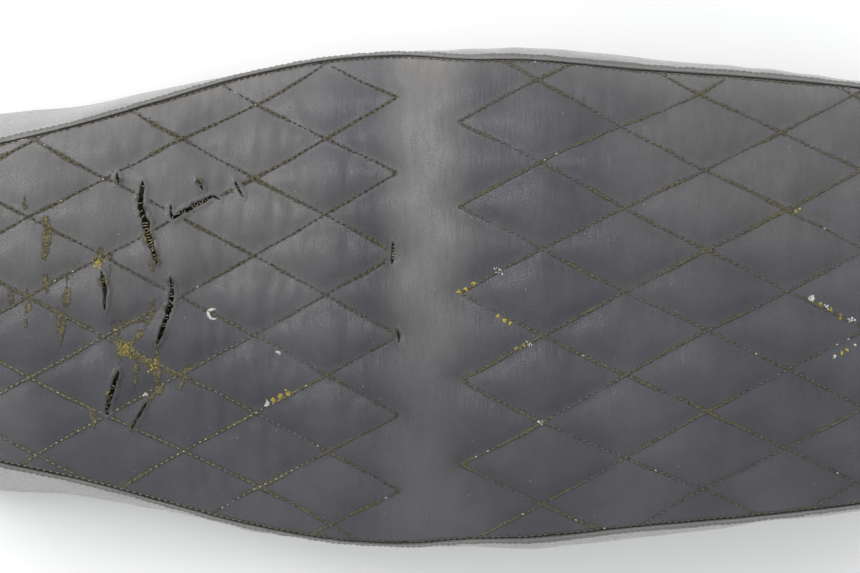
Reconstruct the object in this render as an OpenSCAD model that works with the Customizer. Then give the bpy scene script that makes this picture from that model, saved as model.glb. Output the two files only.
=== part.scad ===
// Two-up motorcycle bench seat: a moulded pan with a foam cushion, a quilted
// cover, rubber buffers, a front hinge and a rear latch striker.
// +X runs from the nose to the tail, +Y is the rider's right, +Z is up.
// The origin is on the plane that the rubber buffers stand on, at the middle
// of the overall length and width.

/* [Overall size] */
// Length of the upholstered seat, nose to tail
seat_length = 682; // [660:1:700]
// Width of the seat base at its widest
seat_width = 284; // [276:1:292]
// Height of the nose where it is fullest
nose_height = 105.5; // [102:0.5:108]
// Height of the rider's dip
dip_height = 86.5; // [84:0.5:90]
// Height of the passenger's crest
crest_height = 130; // [126:0.5:134]
// Height of the tail tip before it rounds over
tail_height = 84; // [82:0.5:90]

/* [Cushion and cover] */
// Rise of the top panel above its seams, as a share of the half width
crown_ratio = 0.205; // [0.18:0.005:0.23]
// Thickness of the vinyl
vinyl_t = 1.2; // [1:0.1:1.4]
// Thickness of the quilt's wadding
wadding_t = 3.6; // [3:0.1:4]
// Gap left between neighbouring soft layers
layer_gap = 0.2; // [0.2:0.05:0.3]
// Height of the hem's underside
hem_z = 12.5; // [12.3:0.1:13]
// Width of the hem turned under the pan
hem_w = 14; // [13:0.5:15]
// Number of staples along each side of the hem
staples_per_side = 22; // [16:1:24]

/* [Pan] */
// Height of the pan deck's underside
deck_z = 27; // [26.5:0.1:27.5]
// Thickness of the pan deck
deck_t = 3; // [2.8:0.1:3.2]
// Thickness of the pan's rim wall
rim_t = 3; // [2.5:0.1:3.5]
// Thickness of the stiffening ribs
rib_t = 2.5; // [2:0.1:3]
// Depth of the stiffening ribs
rib_h = 7; // [5:0.5:9]

/* [Buffers] */
// Radius of a rubber buffer's head
buffer_r = 13; // [12:0.5:14]
// Height of a rubber buffer's head
buffer_h = 13; // [12:0.5:14]
// Radius of a rubber buffer's stem
buffer_stem_r = 6; // [5:0.5:6.5]

/* [Hinge] */
// Radius of the hinge pin
pin_r = 4; // [3.5:0.1:4.2]
// Height of the hinge pin's axis
pin_z = 8; // [7.9:0.1:8.1]
// Reach of the frame bracket in front of the nose
hinge_reach = 42; // [40:1:46]
// Distance between the frame bracket's two bolt holes
frame_hole_pitch = 50; // [48:1:54]
// Radius of the frame bracket's bolt holes
frame_hole_r = 3.3; // [3.2:0.1:3.5]
// Thickness of the bracket steel
bracket_t = 3; // [2.8:0.1:3]

/* [Striker] */
// Radius of the striker's rod
striker_r = 4; // [3.5:0.1:4]
// Distance between the striker's two legs
striker_pitch = 36; // [34:1:38]
// Distance from the tail to the striker
striker_inset = 62; // [60:1:66]

/* [Hidden] */
$fn = 48;
LEFT = -1;
RIGHT = 1;
EPS = 0.02;

// Ends of the seat and of the frame bracket
nose_x = hinge_reach - (seat_length + hinge_reach) / 2;
tail_x = nose_x + seat_length;
bracket_front_x = -tail_x;

// Soft layers, counted down from the top surface
wadding_top = vinyl_t + layer_gap;
wadding_bottom = wadding_top + wadding_t;
foam_top = wadding_bottom + layer_gap;
foam_inset = vinyl_t + 2 * layer_gap;
foam_floor_z = deck_z + deck_t + layer_gap;
pan_z = hem_z + vinyl_t + layer_gap;
pan_inset = vinyl_t + 2 * layer_gap;
side_top_drop = vinyl_t + 2 * layer_gap;
// The side drops straight down below this height, against the pan's rim
rim_z = deck_z + deck_t + 1;

// Number of stations along the soft parts, of points across the top, and of
// levels down the sides
stations = 34;
across = 10;
levels = 5;

// Insets of the seam's two tips from the tips of the base
seam_nose_inset = 12;
seam_tail_inset = 14;
// Length over which each end rounds off, and how square the rounding is
nose_round = 62;
tail_round = 74;
round_power = 2.3;
// Power of the crown's profile across the seat
crown_power = 3;
// Share of the side's height at which its bulge sits high
bulge_power = 0.75;

// Half widths of the seam and of the base along the seat: [share of length,
// share of the half width], before the ends round off
seam_plan = [
    [0, 0.465], [0.14, 0.615], [0.20, 0.686], [0.26, 0.78], [0.33, 0.893],
    [0.40, 0.955], [0.46, 0.959], [0.52, 0.921], [0.57, 0.906], [0.65, 0.864],
    [0.75, 0.831], [0.83, 0.80], [0.92, 0.756], [1, 0.70]
];
base_plan = [
    [0, 0.69], [0.12, 0.785], [0.18, 0.81], [0.25, 0.873], [0.33, 0.944],
    [0.42, 0.986], [0.50, 0.996], [0.58, 1], [0.65, 0.968], [0.75, 0.908],
    [0.83, 0.863], [0.92, 0.81], [1, 0.754]
];
// How far the side swells beyond a straight line from seam to base
side_bulge = [[0, 0], [0.10, 2], [0.45, 2.5], [0.58, 6], [0.85, 4.5], [1, 0]];
// Height of the crown along the seat
crown_line = [
    [0, nose_height - 13.5], [0.08, nose_height - 3.5], [0.165, nose_height],
    [0.25, mix(nose_height, dip_height, 0.45)], [0.34, dip_height],
    [0.42, mix(dip_height, crest_height, 0.2)],
    [0.49, mix(dip_height, crest_height, 0.61)],
    [0.55, mix(dip_height, crest_height, 0.9)], [0.62, crest_height],
    [0.72, crest_height - 3], [0.82, mix(crest_height, tail_height, 0.27)],
    [0.92, mix(crest_height, tail_height, 0.57)], [1, tail_height]
];

function mix(a, b, t) = a + (b - a) * t;

// Smooth curve through a list of [position, value] pairs
function span_of(table, x, i = 0) =
    i >= len(table) - 2 || x < table[i + 1][0] ? i : span_of(table, x, i + 1);
function slope_at(table, i) =
    let (a = max(i - 1, 0), b = min(i + 1, len(table) - 1))
    (table[b][1] - table[a][1]) / (table[b][0] - table[a][0]);
function curve(table, x) =
    let (
        i = span_of(table, x),
        h = table[i + 1][0] - table[i][0],
        t = (x - table[i][0]) / h,
        t2 = t * t,
        t3 = t2 * t
    )
    (2 * t3 - 3 * t2 + 1) * table[i][1] + (t3 - 2 * t2 + t) * h * slope_at(table, i)
    + (3 * t2 - 2 * t3) * table[i + 1][1] + (t3 - t2) * h * slope_at(table, i + 1);

// Share of the full width left at distance d from a rounded end
function rounding(d, r) =
    d >= r ? 1 : pow(max(0, 1 - pow(1 - max(d, 0) / r, round_power)), 1 / round_power);

// Station s runs from 0 at the nose to 1 at the tail, closer near the ends
function along(s, first, last) = mix(first, last, (1 - cos(180 * s)) / 2);
function seam_x(s) = along(s, nose_x + seam_nose_inset, tail_x - seam_tail_inset);
function base_x(s) = along(s, nose_x, tail_x);
function share(x) = (x - nose_x) / seat_length;
function full_seam_y(x) = seat_width / 2 * curve(seam_plan, share(x));
function seam_end(x) =
    rounding(x - nose_x - seam_nose_inset, nose_round)
    * rounding(tail_x - seam_tail_inset - x, tail_round);
function base_y(x) =
    seat_width / 2 * curve(base_plan, share(x))
    * rounding(x - nose_x, nose_round) * rounding(tail_x - x, tail_round);

// A point on the plan outline between the seam (t = 0) and the base (t = 1);
// a negative station is the mirror image on the other side of the nose
function plan_point(s, t) =
    let (q = s < 0 ? -s : s > 1 ? 2 - s : s, xs = seam_x(q), xb = base_x(q))
    [
        mix(xs, xb, t),
        (s < 0 || s > 1 ? -1 : 1) * mix(full_seam_y(xs) * seam_end(xs), base_y(xb), t)
    ];
function plan_normal(s, t) =
    let (
        step = 0.004,
        d = plan_point(s + step, t) - plan_point(s - step, t)
    )
    [-d[1], d[0]] / norm(d);
function swell(s, t) = curve(side_bulge, share(base_x(s))) * sin(180 * pow(t, bulge_power));
function outline(s, t, inset) = plan_point(s, t) + plan_normal(s, t) * (swell(s, t) - inset);

// Height of the crown line, of the seam and of the top surface
function seam_z(x) = curve(crown_line, share(x)) - crown_ratio * full_seam_y(x);
function top_z(x, v) =
    seam_z(x) + crown_ratio * full_seam_y(x) * seam_end(x) * (1 - pow(abs(v), crown_power));

// A point on the side at level t, as [x, y, z], on the chosen side
function side_z(s, t) = mix(seam_z(seam_x(s)) - side_top_drop, rim_z, t);
function side_level(s, z) =
    let (high = seam_z(seam_x(s)) - side_top_drop) min((high - z) / (high - rim_z), 1);
function side_point(s, t, inset, side) =
    let (p = outline(s, t, inset)) [p[0], side * max(p[1], layer_gap), side_z(s, t)];
function at_height(s, z, inset, side) =
    let (p = outline(s, side_level(s, z), inset)) [p[0], side * max(p[1], 0), z];

// A point on the top at station s and share v across, sunk below the surface
function top_point(s, v, inset, sink) =
    let (x = seam_x(s), half = max(full_seam_y(x) * seam_end(x) - inset, 0))
    [
        x + inset * (pow(1 - s, 8) - pow(s, 8)),
        v * half,
        top_z(x, v) - sink
    ];

// A closed solid through a list of rings of equal length. Walls before the
// ring's turning point are split along one diagonal and the rest along the
// other, so that the two faces of a thin layer stay parallel. A capped ring
// runs down one face of the layer and back up the other in matching steps.
module loft(rings, turn, capped = false) {
    n = len(rings[0]);
    last = len(rings) - 1;
    points = [for (ring = rings) each ring];
    walls = [
        for (i = [0:last - 1], j = [0:n - 1])
            let (
                a = i * n + j,
                b = i * n + (j + 1) % n,
                c = a + n,
                d = b + n
            )
            each j < turn
                ? [
                    if (points[a] != points[b]) [a, b, c],
                    if (points[c] != points[d]) [b, d, c]
                ]
                : [
                    if (points[c] != points[d]) [a, d, c],
                    if (points[a] != points[b]) [a, b, d]
                ]
    ];
    far = last * n;
    ends = [
        for (j = [0:capped ? n / 2 - 2 : -1])
            each [
                [n - 1 - j, n - 2 - j, j],
                [n - 2 - j, j + 1, j],
                [far + j, far + n - 2 - j, far + n - 1 - j],
                [far + j, far + j + 1, far + n - 2 - j]
            ]
    ];
    polyhedron(points, concat(walls, ends), convexity = 6);
}

// Outline of the pan at an inset, closed round both sides
module pan_shape(inset) {
    right = [for (i = [0:stations]) outline(i / stations, 1, inset)];
    left = [for (i = [stations - 1:-1:1]) [right[i][0], -right[i][1]]];
    polygon(concat(right, left));
}

// Places of the pan's ribs, as distances from the nose
cross_ribs = [112, 168, 224, 280, 336, 392, 448, 504, 560];
long_rib_y = 42;
// Places of the rubber buffers, as distances from the nose and half spacings
buffer_front = [140, 76];
buffer_middle = [308, 104];
buffer_rear = [532, 90];
buffer_places = [buffer_front, buffer_middle, buffer_rear];
boss_wall = 4;
stem_play = 0.1;
vent_r = 3;
vents = [[196, 20], [364, 20], [476, 20]];

// Hinge layout
pin_x = nose_x - 10;
eye_r = 7.5;
running_gap = 0.05;
bush_t = 1.5;
bush_flange_t = 1;
bush_flange_r = 6.8;
seat_ear_y = 22;
frame_ear_y = seat_ear_y - bush_flange_t - 0.2 - bracket_t;
hinge_plate_near = 18;
hinge_plate_far = 76;
hinge_plate_half = 30;
hinge_bolt_x = [30, 62];
hinge_bolt_y = 14;
bolt_r = 3;
nut_af = 10;
nut_h = 5;
washer_t = 1.2;
washer_r = 6;
head_h = 4;
stiffener_t = 2;
stiffener_half = 34;

// Striker layout
striker_x = tail_x - striker_inset;
striker_bar_z = 7;
striker_bend = 10;
striker_plate_half = [22, 34];
striker_nut_af = 13;
striker_nut_h = 6;
striker_washer_r = 8;

deck_top = deck_z + deck_t;

// Hexagon prism of a given width across flats, with an optional bore
module hexagon(af, h, bore = 0) {
    difference() {
        cylinder(r = af / 2 / cos(30), h = h, $fn = 6);
        if (bore > 0) translate([0, 0, -1]) cylinder(r = bore, h = h + 2);
    }
}

module ring(outer, inner, h) {
    difference() {
        cylinder(r = outer, h = h);
        translate([0, 0, -1]) cylinder(r = inner, h = h + 2);
    }
}

module at_hinge_bolts() {
    for (x = hinge_bolt_x, side = [LEFT, RIGHT])
        translate([nose_x + x, side * hinge_bolt_y, 0]) children();
}

module at_striker_legs() {
    for (side = [LEFT, RIGHT])
        translate([striker_x, side * striker_pitch / 2, 0]) children();
}

module at_buffers() {
    for (place = buffer_places, side = [LEFT, RIGHT])
        translate([nose_x + place[0], side * place[1], 0]) children();
}

// Moulded pan: rim, hem flange, deck, ribs and buffer bosses
module base_pan() {
    color("#26272b")
    difference() {
        union() {
            difference() {
                translate([0, 0, pan_z])
                    linear_extrude(deck_top - pan_z) pan_shape(pan_inset);
                translate([0, 0, pan_z + rim_t])
                    linear_extrude(deck_z - pan_z - rim_t) pan_shape(pan_inset + rim_t);
                translate([0, 0, pan_z - 1])
                    linear_extrude(rim_t + 2) pan_shape(hem_w);
            }
            intersection() {
                translate([0, 0, deck_z - rib_h])
                    linear_extrude(rib_h + EPS) pan_shape(pan_inset + rim_t / 2);
                union() {
                    for (x = cross_ribs)
                        translate([nose_x + x - rib_t / 2, -seat_width / 2, deck_z - rib_h])
                            cube([rib_t, seat_width, rib_h + EPS]);
                    for (side = [LEFT, RIGHT])
                        translate([
                            nose_x + cross_ribs[0],
                            side * long_rib_y - rib_t / 2,
                            deck_z - rib_h
                        ])
                            cube([
                                cross_ribs[len(cross_ribs) - 1] - cross_ribs[0],
                                rib_t,
                                rib_h + EPS
                            ]);
                }
            }
            at_buffers()
                translate([0, 0, buffer_h])
                    cylinder(r = buffer_stem_r + boss_wall, h = deck_z + EPS - buffer_h);
        }
        at_buffers() cylinder(r = buffer_stem_r + stem_play, h = deck_top + 1);
        at_hinge_bolts() cylinder(r = bolt_r + 0.3, h = deck_top + 1);
        at_striker_legs() cylinder(r = striker_r + 0.3, h = deck_top + 1);
        for (vent = vents, side = [LEFT, RIGHT])
            translate([nose_x + vent[0], side * vent[1], 0])
                cylinder(r = vent_r, h = deck_top + 1);
    }
}

// Steel plates that spread the hinge and striker loads over the deck
module front_stiffener_plate() {
    color("#8a8d90")
    difference() {
        translate([nose_x + hinge_plate_near, -stiffener_half, deck_top])
            cube([hinge_plate_far - hinge_plate_near, 2 * stiffener_half, stiffener_t]);
        at_hinge_bolts() cylinder(r = bolt_r + 0.3, h = deck_top + stiffener_t + 1);
    }
}

module rear_stiffener_plate() {
    color("#8a8d90")
    difference() {
        translate([striker_x - striker_plate_half[0], -striker_plate_half[1], deck_top])
            cube([2 * striker_plate_half[0], 2 * striker_plate_half[1], stiffener_t]);
        at_striker_legs() cylinder(r = striker_r + 0.3, h = deck_top + stiffener_t + 1);
    }
}

// Moulded cushion, hollowed over the two plates and their fasteners
module seat_foam() {
    pocket = 14;
    play = 1;
    color("#d9c98c")
    difference() {
        loft([
            for (i = [0:stations])
                let (
                    s = i / stations,
                    z0 = foam_floor_z,
                    z1 = seam_z(seam_x(s)) - foam_top
                )
                concat(
                    [for (j = [0:levels - 1])
                        at_height(s, mix(z0, z1, j / levels), foam_inset, RIGHT)],
                    [for (k = [0:across])
                        top_point(s, 1 - 2 * k / across, foam_inset, foam_top)],
                    [for (j = [levels - 1:-1:0])
                        at_height(s, mix(z0, z1, j / levels), foam_inset, LEFT)]
                )
        ], levels + across / 2);
        translate([nose_x + hinge_plate_near - play, -stiffener_half - play, deck_top - 1])
            cube([
                hinge_plate_far - hinge_plate_near + 2 * play,
                2 * (stiffener_half + play),
                pocket
            ]);
        translate([
            striker_x - striker_plate_half[0] - play,
            -striker_plate_half[1] - play,
            deck_top - 1
        ])
            cube([
                2 * (striker_plate_half[0] + play),
                2 * (striker_plate_half[1] + play),
                pocket
            ]);
    }
}

// A thin layer that follows the top surface between two depths
module top_layer(inset, high, low) {
    loft([
        for (i = [0:stations])
            let (s = i / stations)
            concat(
                [for (k = [0:across]) top_point(s, 1 - 2 * k / across, inset, high)],
                [for (k = [across:-1:0]) top_point(s, 1 - 2 * k / across, inset, low)]
            )
    ], across + 1);
}

module quilt_wadding() {
    color("#eceae2") top_layer(foam_inset, wadding_top, wadding_bottom);
}

module top_panel() {
    color("#63646a") top_layer(0, 0, vinyl_t);
}

// Side of the cover: down from the seam, round the pan's rim and under it
module side_panel(side) {
    rings = [
        for (i = [0:stations])
            let (s = i / stations)
            concat(
                [for (j = [0:levels]) side_point(s, j / levels, 0, side)],
                [
                    hem_point(s, 0, hem_z, side),
                    hem_point(s, hem_w, hem_z, side),
                    hem_point(s, hem_w, hem_z + vinyl_t, side),
                    hem_point(s, vinyl_t, hem_z + vinyl_t, side)
                ],
                [for (j = [levels:-1:0]) side_point(s, j / levels, vinyl_t, side)]
            )
    ];
    mirrored = [for (ring = rings) [for (j = [len(ring) - 1:-1:0]) ring[j]]];
    turn = levels + 3;
    loft(side == RIGHT ? rings : mirrored, turn, true);
}
function hem_point(s, inset, z, side) =
    let (p = outline(s, 1, inset)) [p[0], side * max(p[1], layer_gap), z];

module side_panel_left() {
    color("#55565b") side_panel(LEFT);
}

module side_panel_right() {
    color("#55565b") side_panel(RIGHT);
}

// Wire staples through the hem into the pan's flange
module hem_staples() {
    crown = 9;
    wire = 0.6;
    leg = 3;
    middle = 8;
    first = 0.13;
    last = 0.9;
    color("#b9bcc0")
    for (i = [0:staples_per_side - 1], side = [LEFT, RIGHT]) {
        s = mix(first, last, i / (staples_per_side - 1));
        p = outline(s, 1, middle);
        n = plan_normal(s, 1);
        translate([p[0], side * p[1], hem_z - wire])
            rotate([0, 0, side * (atan2(n[1], n[0]) - 90)]) {
                translate([-crown / 2, -wire / 2, 0]) cube([crown, wire, wire]);
                for (end = [LEFT, RIGHT])
                    translate([end * (crown - wire) / 2 - wire / 2, -wire / 2, 0])
                        cube([wire, wire, wire + leg]);
            }
    }
}

// Mushroom-shaped rubber buffer with its stem in the pan's boss
module buffer(place, side) {
    color("#1b1b1c")
    translate([nose_x + place[0], side * place[1], 0])
        rotate_extrude()
            polygon([
                [0, 0], [buffer_r - 1.5, 0], [buffer_r, 1.5], [buffer_r, buffer_h - EPS],
                [buffer_stem_r, buffer_h - EPS], [buffer_stem_r, deck_top - 1],
                [buffer_stem_r - 1, deck_top], [0, deck_top]
            ]);
}

module buffer_front_left() { buffer(buffer_front, LEFT); }
module buffer_front_right() { buffer(buffer_front, RIGHT); }
module buffer_middle_left() { buffer(buffer_middle, LEFT); }
module buffer_middle_right() { buffer(buffer_middle, RIGHT); }
module buffer_rear_left() { buffer(buffer_rear, LEFT); }
module buffer_rear_right() { buffer(buffer_rear, RIGHT); }

// Cylinder along Y between two positions on the hinge axis
module on_hinge_axis(r, from, to) {
    translate([pin_x, from, pin_z]) rotate([-90, 0, 0]) cylinder(r = r, h = to - from);
}

// Seat half of the hinge: a plate under the deck with two ears that run
// forward under the rim to the pin
module hinge_seat_bracket() {
    arm_low = 2;
    arm_high = hem_z - 1.5;
    ear_front = 15;
    color("#7d8184")
    difference() {
        union() {
            translate([nose_x + hinge_plate_near, -hinge_plate_half, deck_z - bracket_t])
                cube([
                    hinge_plate_far - hinge_plate_near,
                    2 * hinge_plate_half,
                    bracket_t
                ]);
            for (side = [LEFT, RIGHT])
                translate([0, side == RIGHT ? seat_ear_y + bracket_t : -seat_ear_y, 0])
                    rotate([90, 0, 0])
                        linear_extrude(bracket_t) {
                            polygon([
                                [nose_x + hinge_plate_near, deck_z - EPS],
                                [nose_x + hinge_plate_near, arm_high],
                                [pin_x, arm_high], [pin_x, arm_low],
                                [nose_x + ear_front + 20, arm_low],
                                [nose_x + hinge_plate_far, deck_z - bracket_t - 4],
                                [nose_x + hinge_plate_far, deck_z - EPS]
                            ]);
                            translate([pin_x, pin_z]) circle(r = eye_r);
                        }
        }
        on_hinge_axis(pin_r + bush_t, -seat_width, seat_width);
        at_hinge_bolts() cylinder(r = bolt_r + 0.3, h = deck_top);
    }
}

// Frame half of the hinge: a foot with two bolt holes and two ears
module hinge_frame_bracket() {
    foot_half = frame_hole_pitch / 2 + 13;
    foot_rear = pin_x - eye_r - 2;
    tongue_half = frame_ear_y + bracket_t;
    hole_x = (bracket_front_x + foot_rear) / 2;
    color("#7d8184")
    difference() {
        union() {
            translate([bracket_front_x, -foot_half, 0])
                cube([foot_rear - bracket_front_x, 2 * foot_half, bracket_t]);
            translate([foot_rear - EPS, -tongue_half, 0])
                cube([pin_x + eye_r - foot_rear, 2 * tongue_half, bracket_t]);
            for (side = [LEFT, RIGHT])
                translate([0, side == RIGHT ? tongue_half : -frame_ear_y, 0])
                    rotate([90, 0, 0])
                        linear_extrude(bracket_t) {
                            translate([pin_x - eye_r, bracket_t - EPS])
                                square([2 * eye_r, pin_z - bracket_t]);
                            translate([pin_x, pin_z]) circle(r = eye_r);
                        }
        }
        on_hinge_axis(pin_r + running_gap, -seat_width, seat_width);
        for (side = [LEFT, RIGHT])
            translate([hole_x, side * frame_hole_pitch / 2, -1])
                cylinder(r = frame_hole_r, h = bracket_t + 2);
    }
}

// Clevis pin: head on the right, groove for the clip on the left
clip_groove_y = -(seat_ear_y + bracket_t + 1.6);
clip_t = 1;
module hinge_pin() {
    groove_depth = 1;
    pin_end = 2;
    color("#c3c6c9")
    difference() {
        union() {
            on_hinge_axis(pin_r, clip_groove_y - clip_t - pin_end, seat_ear_y + bracket_t + 1);
            on_hinge_axis(eye_r - 1, seat_ear_y + bracket_t + 0.4, seat_ear_y + bracket_t + 3.4);
        }
        difference() {
            on_hinge_axis(pin_r + 1, clip_groove_y - clip_t, clip_groove_y);
            on_hinge_axis(pin_r - groove_depth, clip_groove_y - clip_t, clip_groove_y);
        }
    }
}

// E-clip in the pin's groove, open towards the front
module hinge_pin_clip() {
    play = 0.05;
    mouth = 4.6;
    color("#d6d8da")
    difference() {
        on_hinge_axis(eye_r - 1.3, clip_groove_y - clip_t + play, clip_groove_y - play);
        on_hinge_axis(pin_r - 1 + play, clip_groove_y - 2 * clip_t, clip_groove_y + clip_t);
        translate([pin_x - 2 * eye_r, clip_groove_y - 2 * clip_t, pin_z - mouth / 2])
            cube([2 * eye_r, 3 * clip_t, mouth]);
    }
}

// Flanged nylon bush in a seat ear
module hinge_bush(side) {
    inner = seat_ear_y - bush_flange_t;
    color("#e8e6df")
    difference() {
        union() {
            on_hinge_axis(
                pin_r + bush_t - EPS,
                side == RIGHT ? inner : -seat_ear_y - bracket_t,
                side == RIGHT ? seat_ear_y + bracket_t : -inner
            );
            on_hinge_axis(
                bush_flange_r,
                side == RIGHT ? inner : -seat_ear_y,
                side == RIGHT ? seat_ear_y : -inner
            );
        }
        on_hinge_axis(pin_r + running_gap, -seat_width, seat_width);
    }
}

module hinge_bush_left() { hinge_bush(LEFT); }
module hinge_bush_right() { hinge_bush(RIGHT); }

// Bolts that clamp the seat bracket and the front plate to the deck
module hinge_bolts() {
    tip_z = 15;
    color("#b9bcc0")
    at_hinge_bolts() {
        translate([0, 0, deck_top + stiffener_t]) hexagon(nut_af, head_h);
        translate([0, 0, tip_z]) cylinder(r = bolt_r, h = deck_top + stiffener_t + 1 - tip_z);
    }
}

module hinge_washers() {
    color("#c9cccf")
    at_hinge_bolts()
        translate([0, 0, deck_z - bracket_t - washer_t])
            ring(washer_r, bolt_r + running_gap, washer_t);
}

module hinge_nuts() {
    color("#b9bcc0")
    at_hinge_bolts()
        translate([0, 0, deck_z - bracket_t - washer_t - nut_h])
            hexagon(nut_af, nut_h, bolt_r + running_gap);
}

// Latch striker: a rod bent to a U, its legs through the deck
module striker_loop() {
    leg_low = striker_bar_z + striker_bend;
    leg_high = deck_top + stiffener_t + washer_t + striker_nut_h + 2;
    bar_half = striker_pitch / 2 - striker_bend;
    color("#9a9da0")
    union() {
        at_striker_legs()
            translate([0, 0, leg_low]) cylinder(r = striker_r, h = leg_high - leg_low);
        translate([striker_x, -bar_half, striker_bar_z])
            rotate([-90, 0, 0]) cylinder(r = striker_r, h = 2 * bar_half);
        for (side = [LEFT, RIGHT])
            translate([striker_x, side * bar_half, leg_low])
                rotate([90, 0, side == RIGHT ? 90 : -90])
                    rotate([0, 0, -90])
                        rotate_extrude(angle = 90)
                            translate([striker_bend, 0]) circle(r = striker_r);
    }
}

module striker_upper_nuts() {
    color("#b9bcc0")
    at_striker_legs()
        translate([0, 0, deck_top + stiffener_t + washer_t])
            hexagon(striker_nut_af, striker_nut_h, striker_r + running_gap);
}

module striker_lower_nuts() {
    color("#b9bcc0")
    at_striker_legs()
        translate([0, 0, deck_z - washer_t - striker_nut_h])
            hexagon(striker_nut_af, striker_nut_h, striker_r + running_gap);
}

module striker_washers() {
    color("#c9cccf")
    at_striker_legs() {
        translate([0, 0, deck_top + stiffener_t])
            ring(striker_washer_r, striker_r + running_gap, washer_t);
        translate([0, 0, deck_z - washer_t])
            ring(striker_washer_r, striker_r + running_gap, washer_t);
    }
}

base_pan();
front_stiffener_plate();
rear_stiffener_plate();
seat_foam();
quilt_wadding();
top_panel();
side_panel_left();
side_panel_right();
hem_staples();
buffer_front_left();
buffer_front_right();
buffer_middle_left();
buffer_middle_right();
buffer_rear_left();
buffer_rear_right();
hinge_seat_bracket();
hinge_frame_bracket();
hinge_pin();
hinge_pin_clip();
hinge_bush_left();
hinge_bush_right();
hinge_bolts();
hinge_washers();
hinge_nuts();
striker_loop();
striker_upper_nuts();
striker_lower_nuts();
striker_washers();
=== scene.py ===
import math

import bpy
import numpy as np
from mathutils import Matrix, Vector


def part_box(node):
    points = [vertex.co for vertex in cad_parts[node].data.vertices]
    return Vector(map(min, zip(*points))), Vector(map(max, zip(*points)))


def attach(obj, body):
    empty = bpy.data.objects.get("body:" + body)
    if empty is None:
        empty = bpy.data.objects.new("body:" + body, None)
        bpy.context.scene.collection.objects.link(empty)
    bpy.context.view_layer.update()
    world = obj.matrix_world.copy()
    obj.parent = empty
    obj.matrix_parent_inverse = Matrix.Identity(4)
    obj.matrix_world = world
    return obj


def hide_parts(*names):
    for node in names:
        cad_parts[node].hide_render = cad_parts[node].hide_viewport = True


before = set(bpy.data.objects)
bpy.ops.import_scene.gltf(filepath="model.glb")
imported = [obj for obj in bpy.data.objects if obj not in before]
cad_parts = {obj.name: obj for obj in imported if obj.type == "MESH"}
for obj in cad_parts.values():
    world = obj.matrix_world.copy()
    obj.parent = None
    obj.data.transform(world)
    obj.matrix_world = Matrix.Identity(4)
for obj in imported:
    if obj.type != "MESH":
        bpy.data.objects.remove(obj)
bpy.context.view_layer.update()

# Looks of a worn two-up motorcycle seat, in metres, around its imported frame.
# +X runs from the nose to the tail, +Y is the rider's right, +Z is up.

MM = 0.001
RNG = np.random.default_rng(7)

# ---------------------------------------------------------------- dimensions

NOSE_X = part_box("side_panel_left")[0].x
TAIL_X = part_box("side_panel_left")[1].x
LENGTH = TAIL_X - NOSE_X
HEM_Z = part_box("side_panel_left")[0].z
RIM_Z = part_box("base_pan")[1].z + 1 * MM
HALF_WIDTH = 142 * MM
NOSE_HEIGHT = 105.5 * MM
DIP_HEIGHT = 86.5 * MM
CREST_HEIGHT = 130 * MM
TAIL_HEIGHT = 84 * MM
CROWN_RATIO = 0.205
CROWN_POWER = 3
ROUND_POWER = 2.3
BULGE_POWER = 0.75
SEAM_NOSE_INSET = 12 * MM
SEAM_TAIL_INSET = 14 * MM
NOSE_ROUND = 62 * MM
TAIL_ROUND = 74 * MM
WADDING_DEPTH = 1.6 * MM
FOAM_DEPTH = 5.4 * MM

# Half widths of the seam and of the base: [share of length, share of width]
SEAM_PLAN = [
    (0, 0.465), (0.14, 0.615), (0.20, 0.686), (0.26, 0.78), (0.33, 0.893),
    (0.40, 0.955), (0.46, 0.959), (0.52, 0.921), (0.57, 0.906), (0.65, 0.864),
    (0.75, 0.831), (0.83, 0.80), (0.92, 0.756), (1, 0.70),
]
BASE_PLAN = [
    (0, 0.69), (0.12, 0.785), (0.18, 0.81), (0.25, 0.873), (0.33, 0.944),
    (0.42, 0.986), (0.50, 0.996), (0.58, 1), (0.65, 0.968), (0.75, 0.908),
    (0.83, 0.863), (0.92, 0.81), (1, 0.754),
]
SIDE_BULGE = [(0, 0), (0.10, 2), (0.45, 2.5), (0.58, 6), (0.85, 4.5), (1, 0)]


def mix(a, b, t):
    return a + (b - a) * t


CROWN_LINE = [
    (0, NOSE_HEIGHT - 13.5 * MM), (0.08, NOSE_HEIGHT - 3.5 * MM), (0.165, NOSE_HEIGHT),
    (0.25, mix(NOSE_HEIGHT, DIP_HEIGHT, 0.45)), (0.34, DIP_HEIGHT),
    (0.42, mix(DIP_HEIGHT, CREST_HEIGHT, 0.2)),
    (0.49, mix(DIP_HEIGHT, CREST_HEIGHT, 0.61)),
    (0.55, mix(DIP_HEIGHT, CREST_HEIGHT, 0.9)), (0.62, CREST_HEIGHT),
    (0.72, CREST_HEIGHT - 3 * MM), (0.82, mix(CREST_HEIGHT, TAIL_HEIGHT, 0.27)),
    (0.92, mix(CREST_HEIGHT, TAIL_HEIGHT, 0.57)), (1, TAIL_HEIGHT),
]

# Quilting: each zone's diamonds are this long and wide, from this row of tips
RIDER_TIP_X = -5 * MM
RIDER_DIAMOND = (79 * MM, 43.4 * MM)
RIDER_CENTRE_Y = 3.2 * MM
PASSENGER_TIP_X = 28 * MM
PASSENGER_LENGTH = 86 * MM
PASSENGER_WIDTHS = (45.8 * MM, 42.3 * MM)
PASSENGER_NARROWS = (60 * MM, 160 * MM)
PASSENGER_CENTRE_Y = 3.6 * MM
PUFF = 3.6 * MM
PUFF_REACH = 9 * MM
STITCH_SINK = 2.6 * MM
EDGE_FADE = 18 * MM
EDGE_ROLL = 2.6 * MM
EDGE_DROP = 1.5 * MM
SEAM_ROW_INSET = 1.3 * MM
# The thread has lost its colour to the left of and below this place
PALE_CORNER = (-60 * MM, -44 * MM)
STITCH_PITCH = 3.5 * MM
STITCH_LENGTH = 2.1 * MM
THREAD_R = 0.36 * MM

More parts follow.
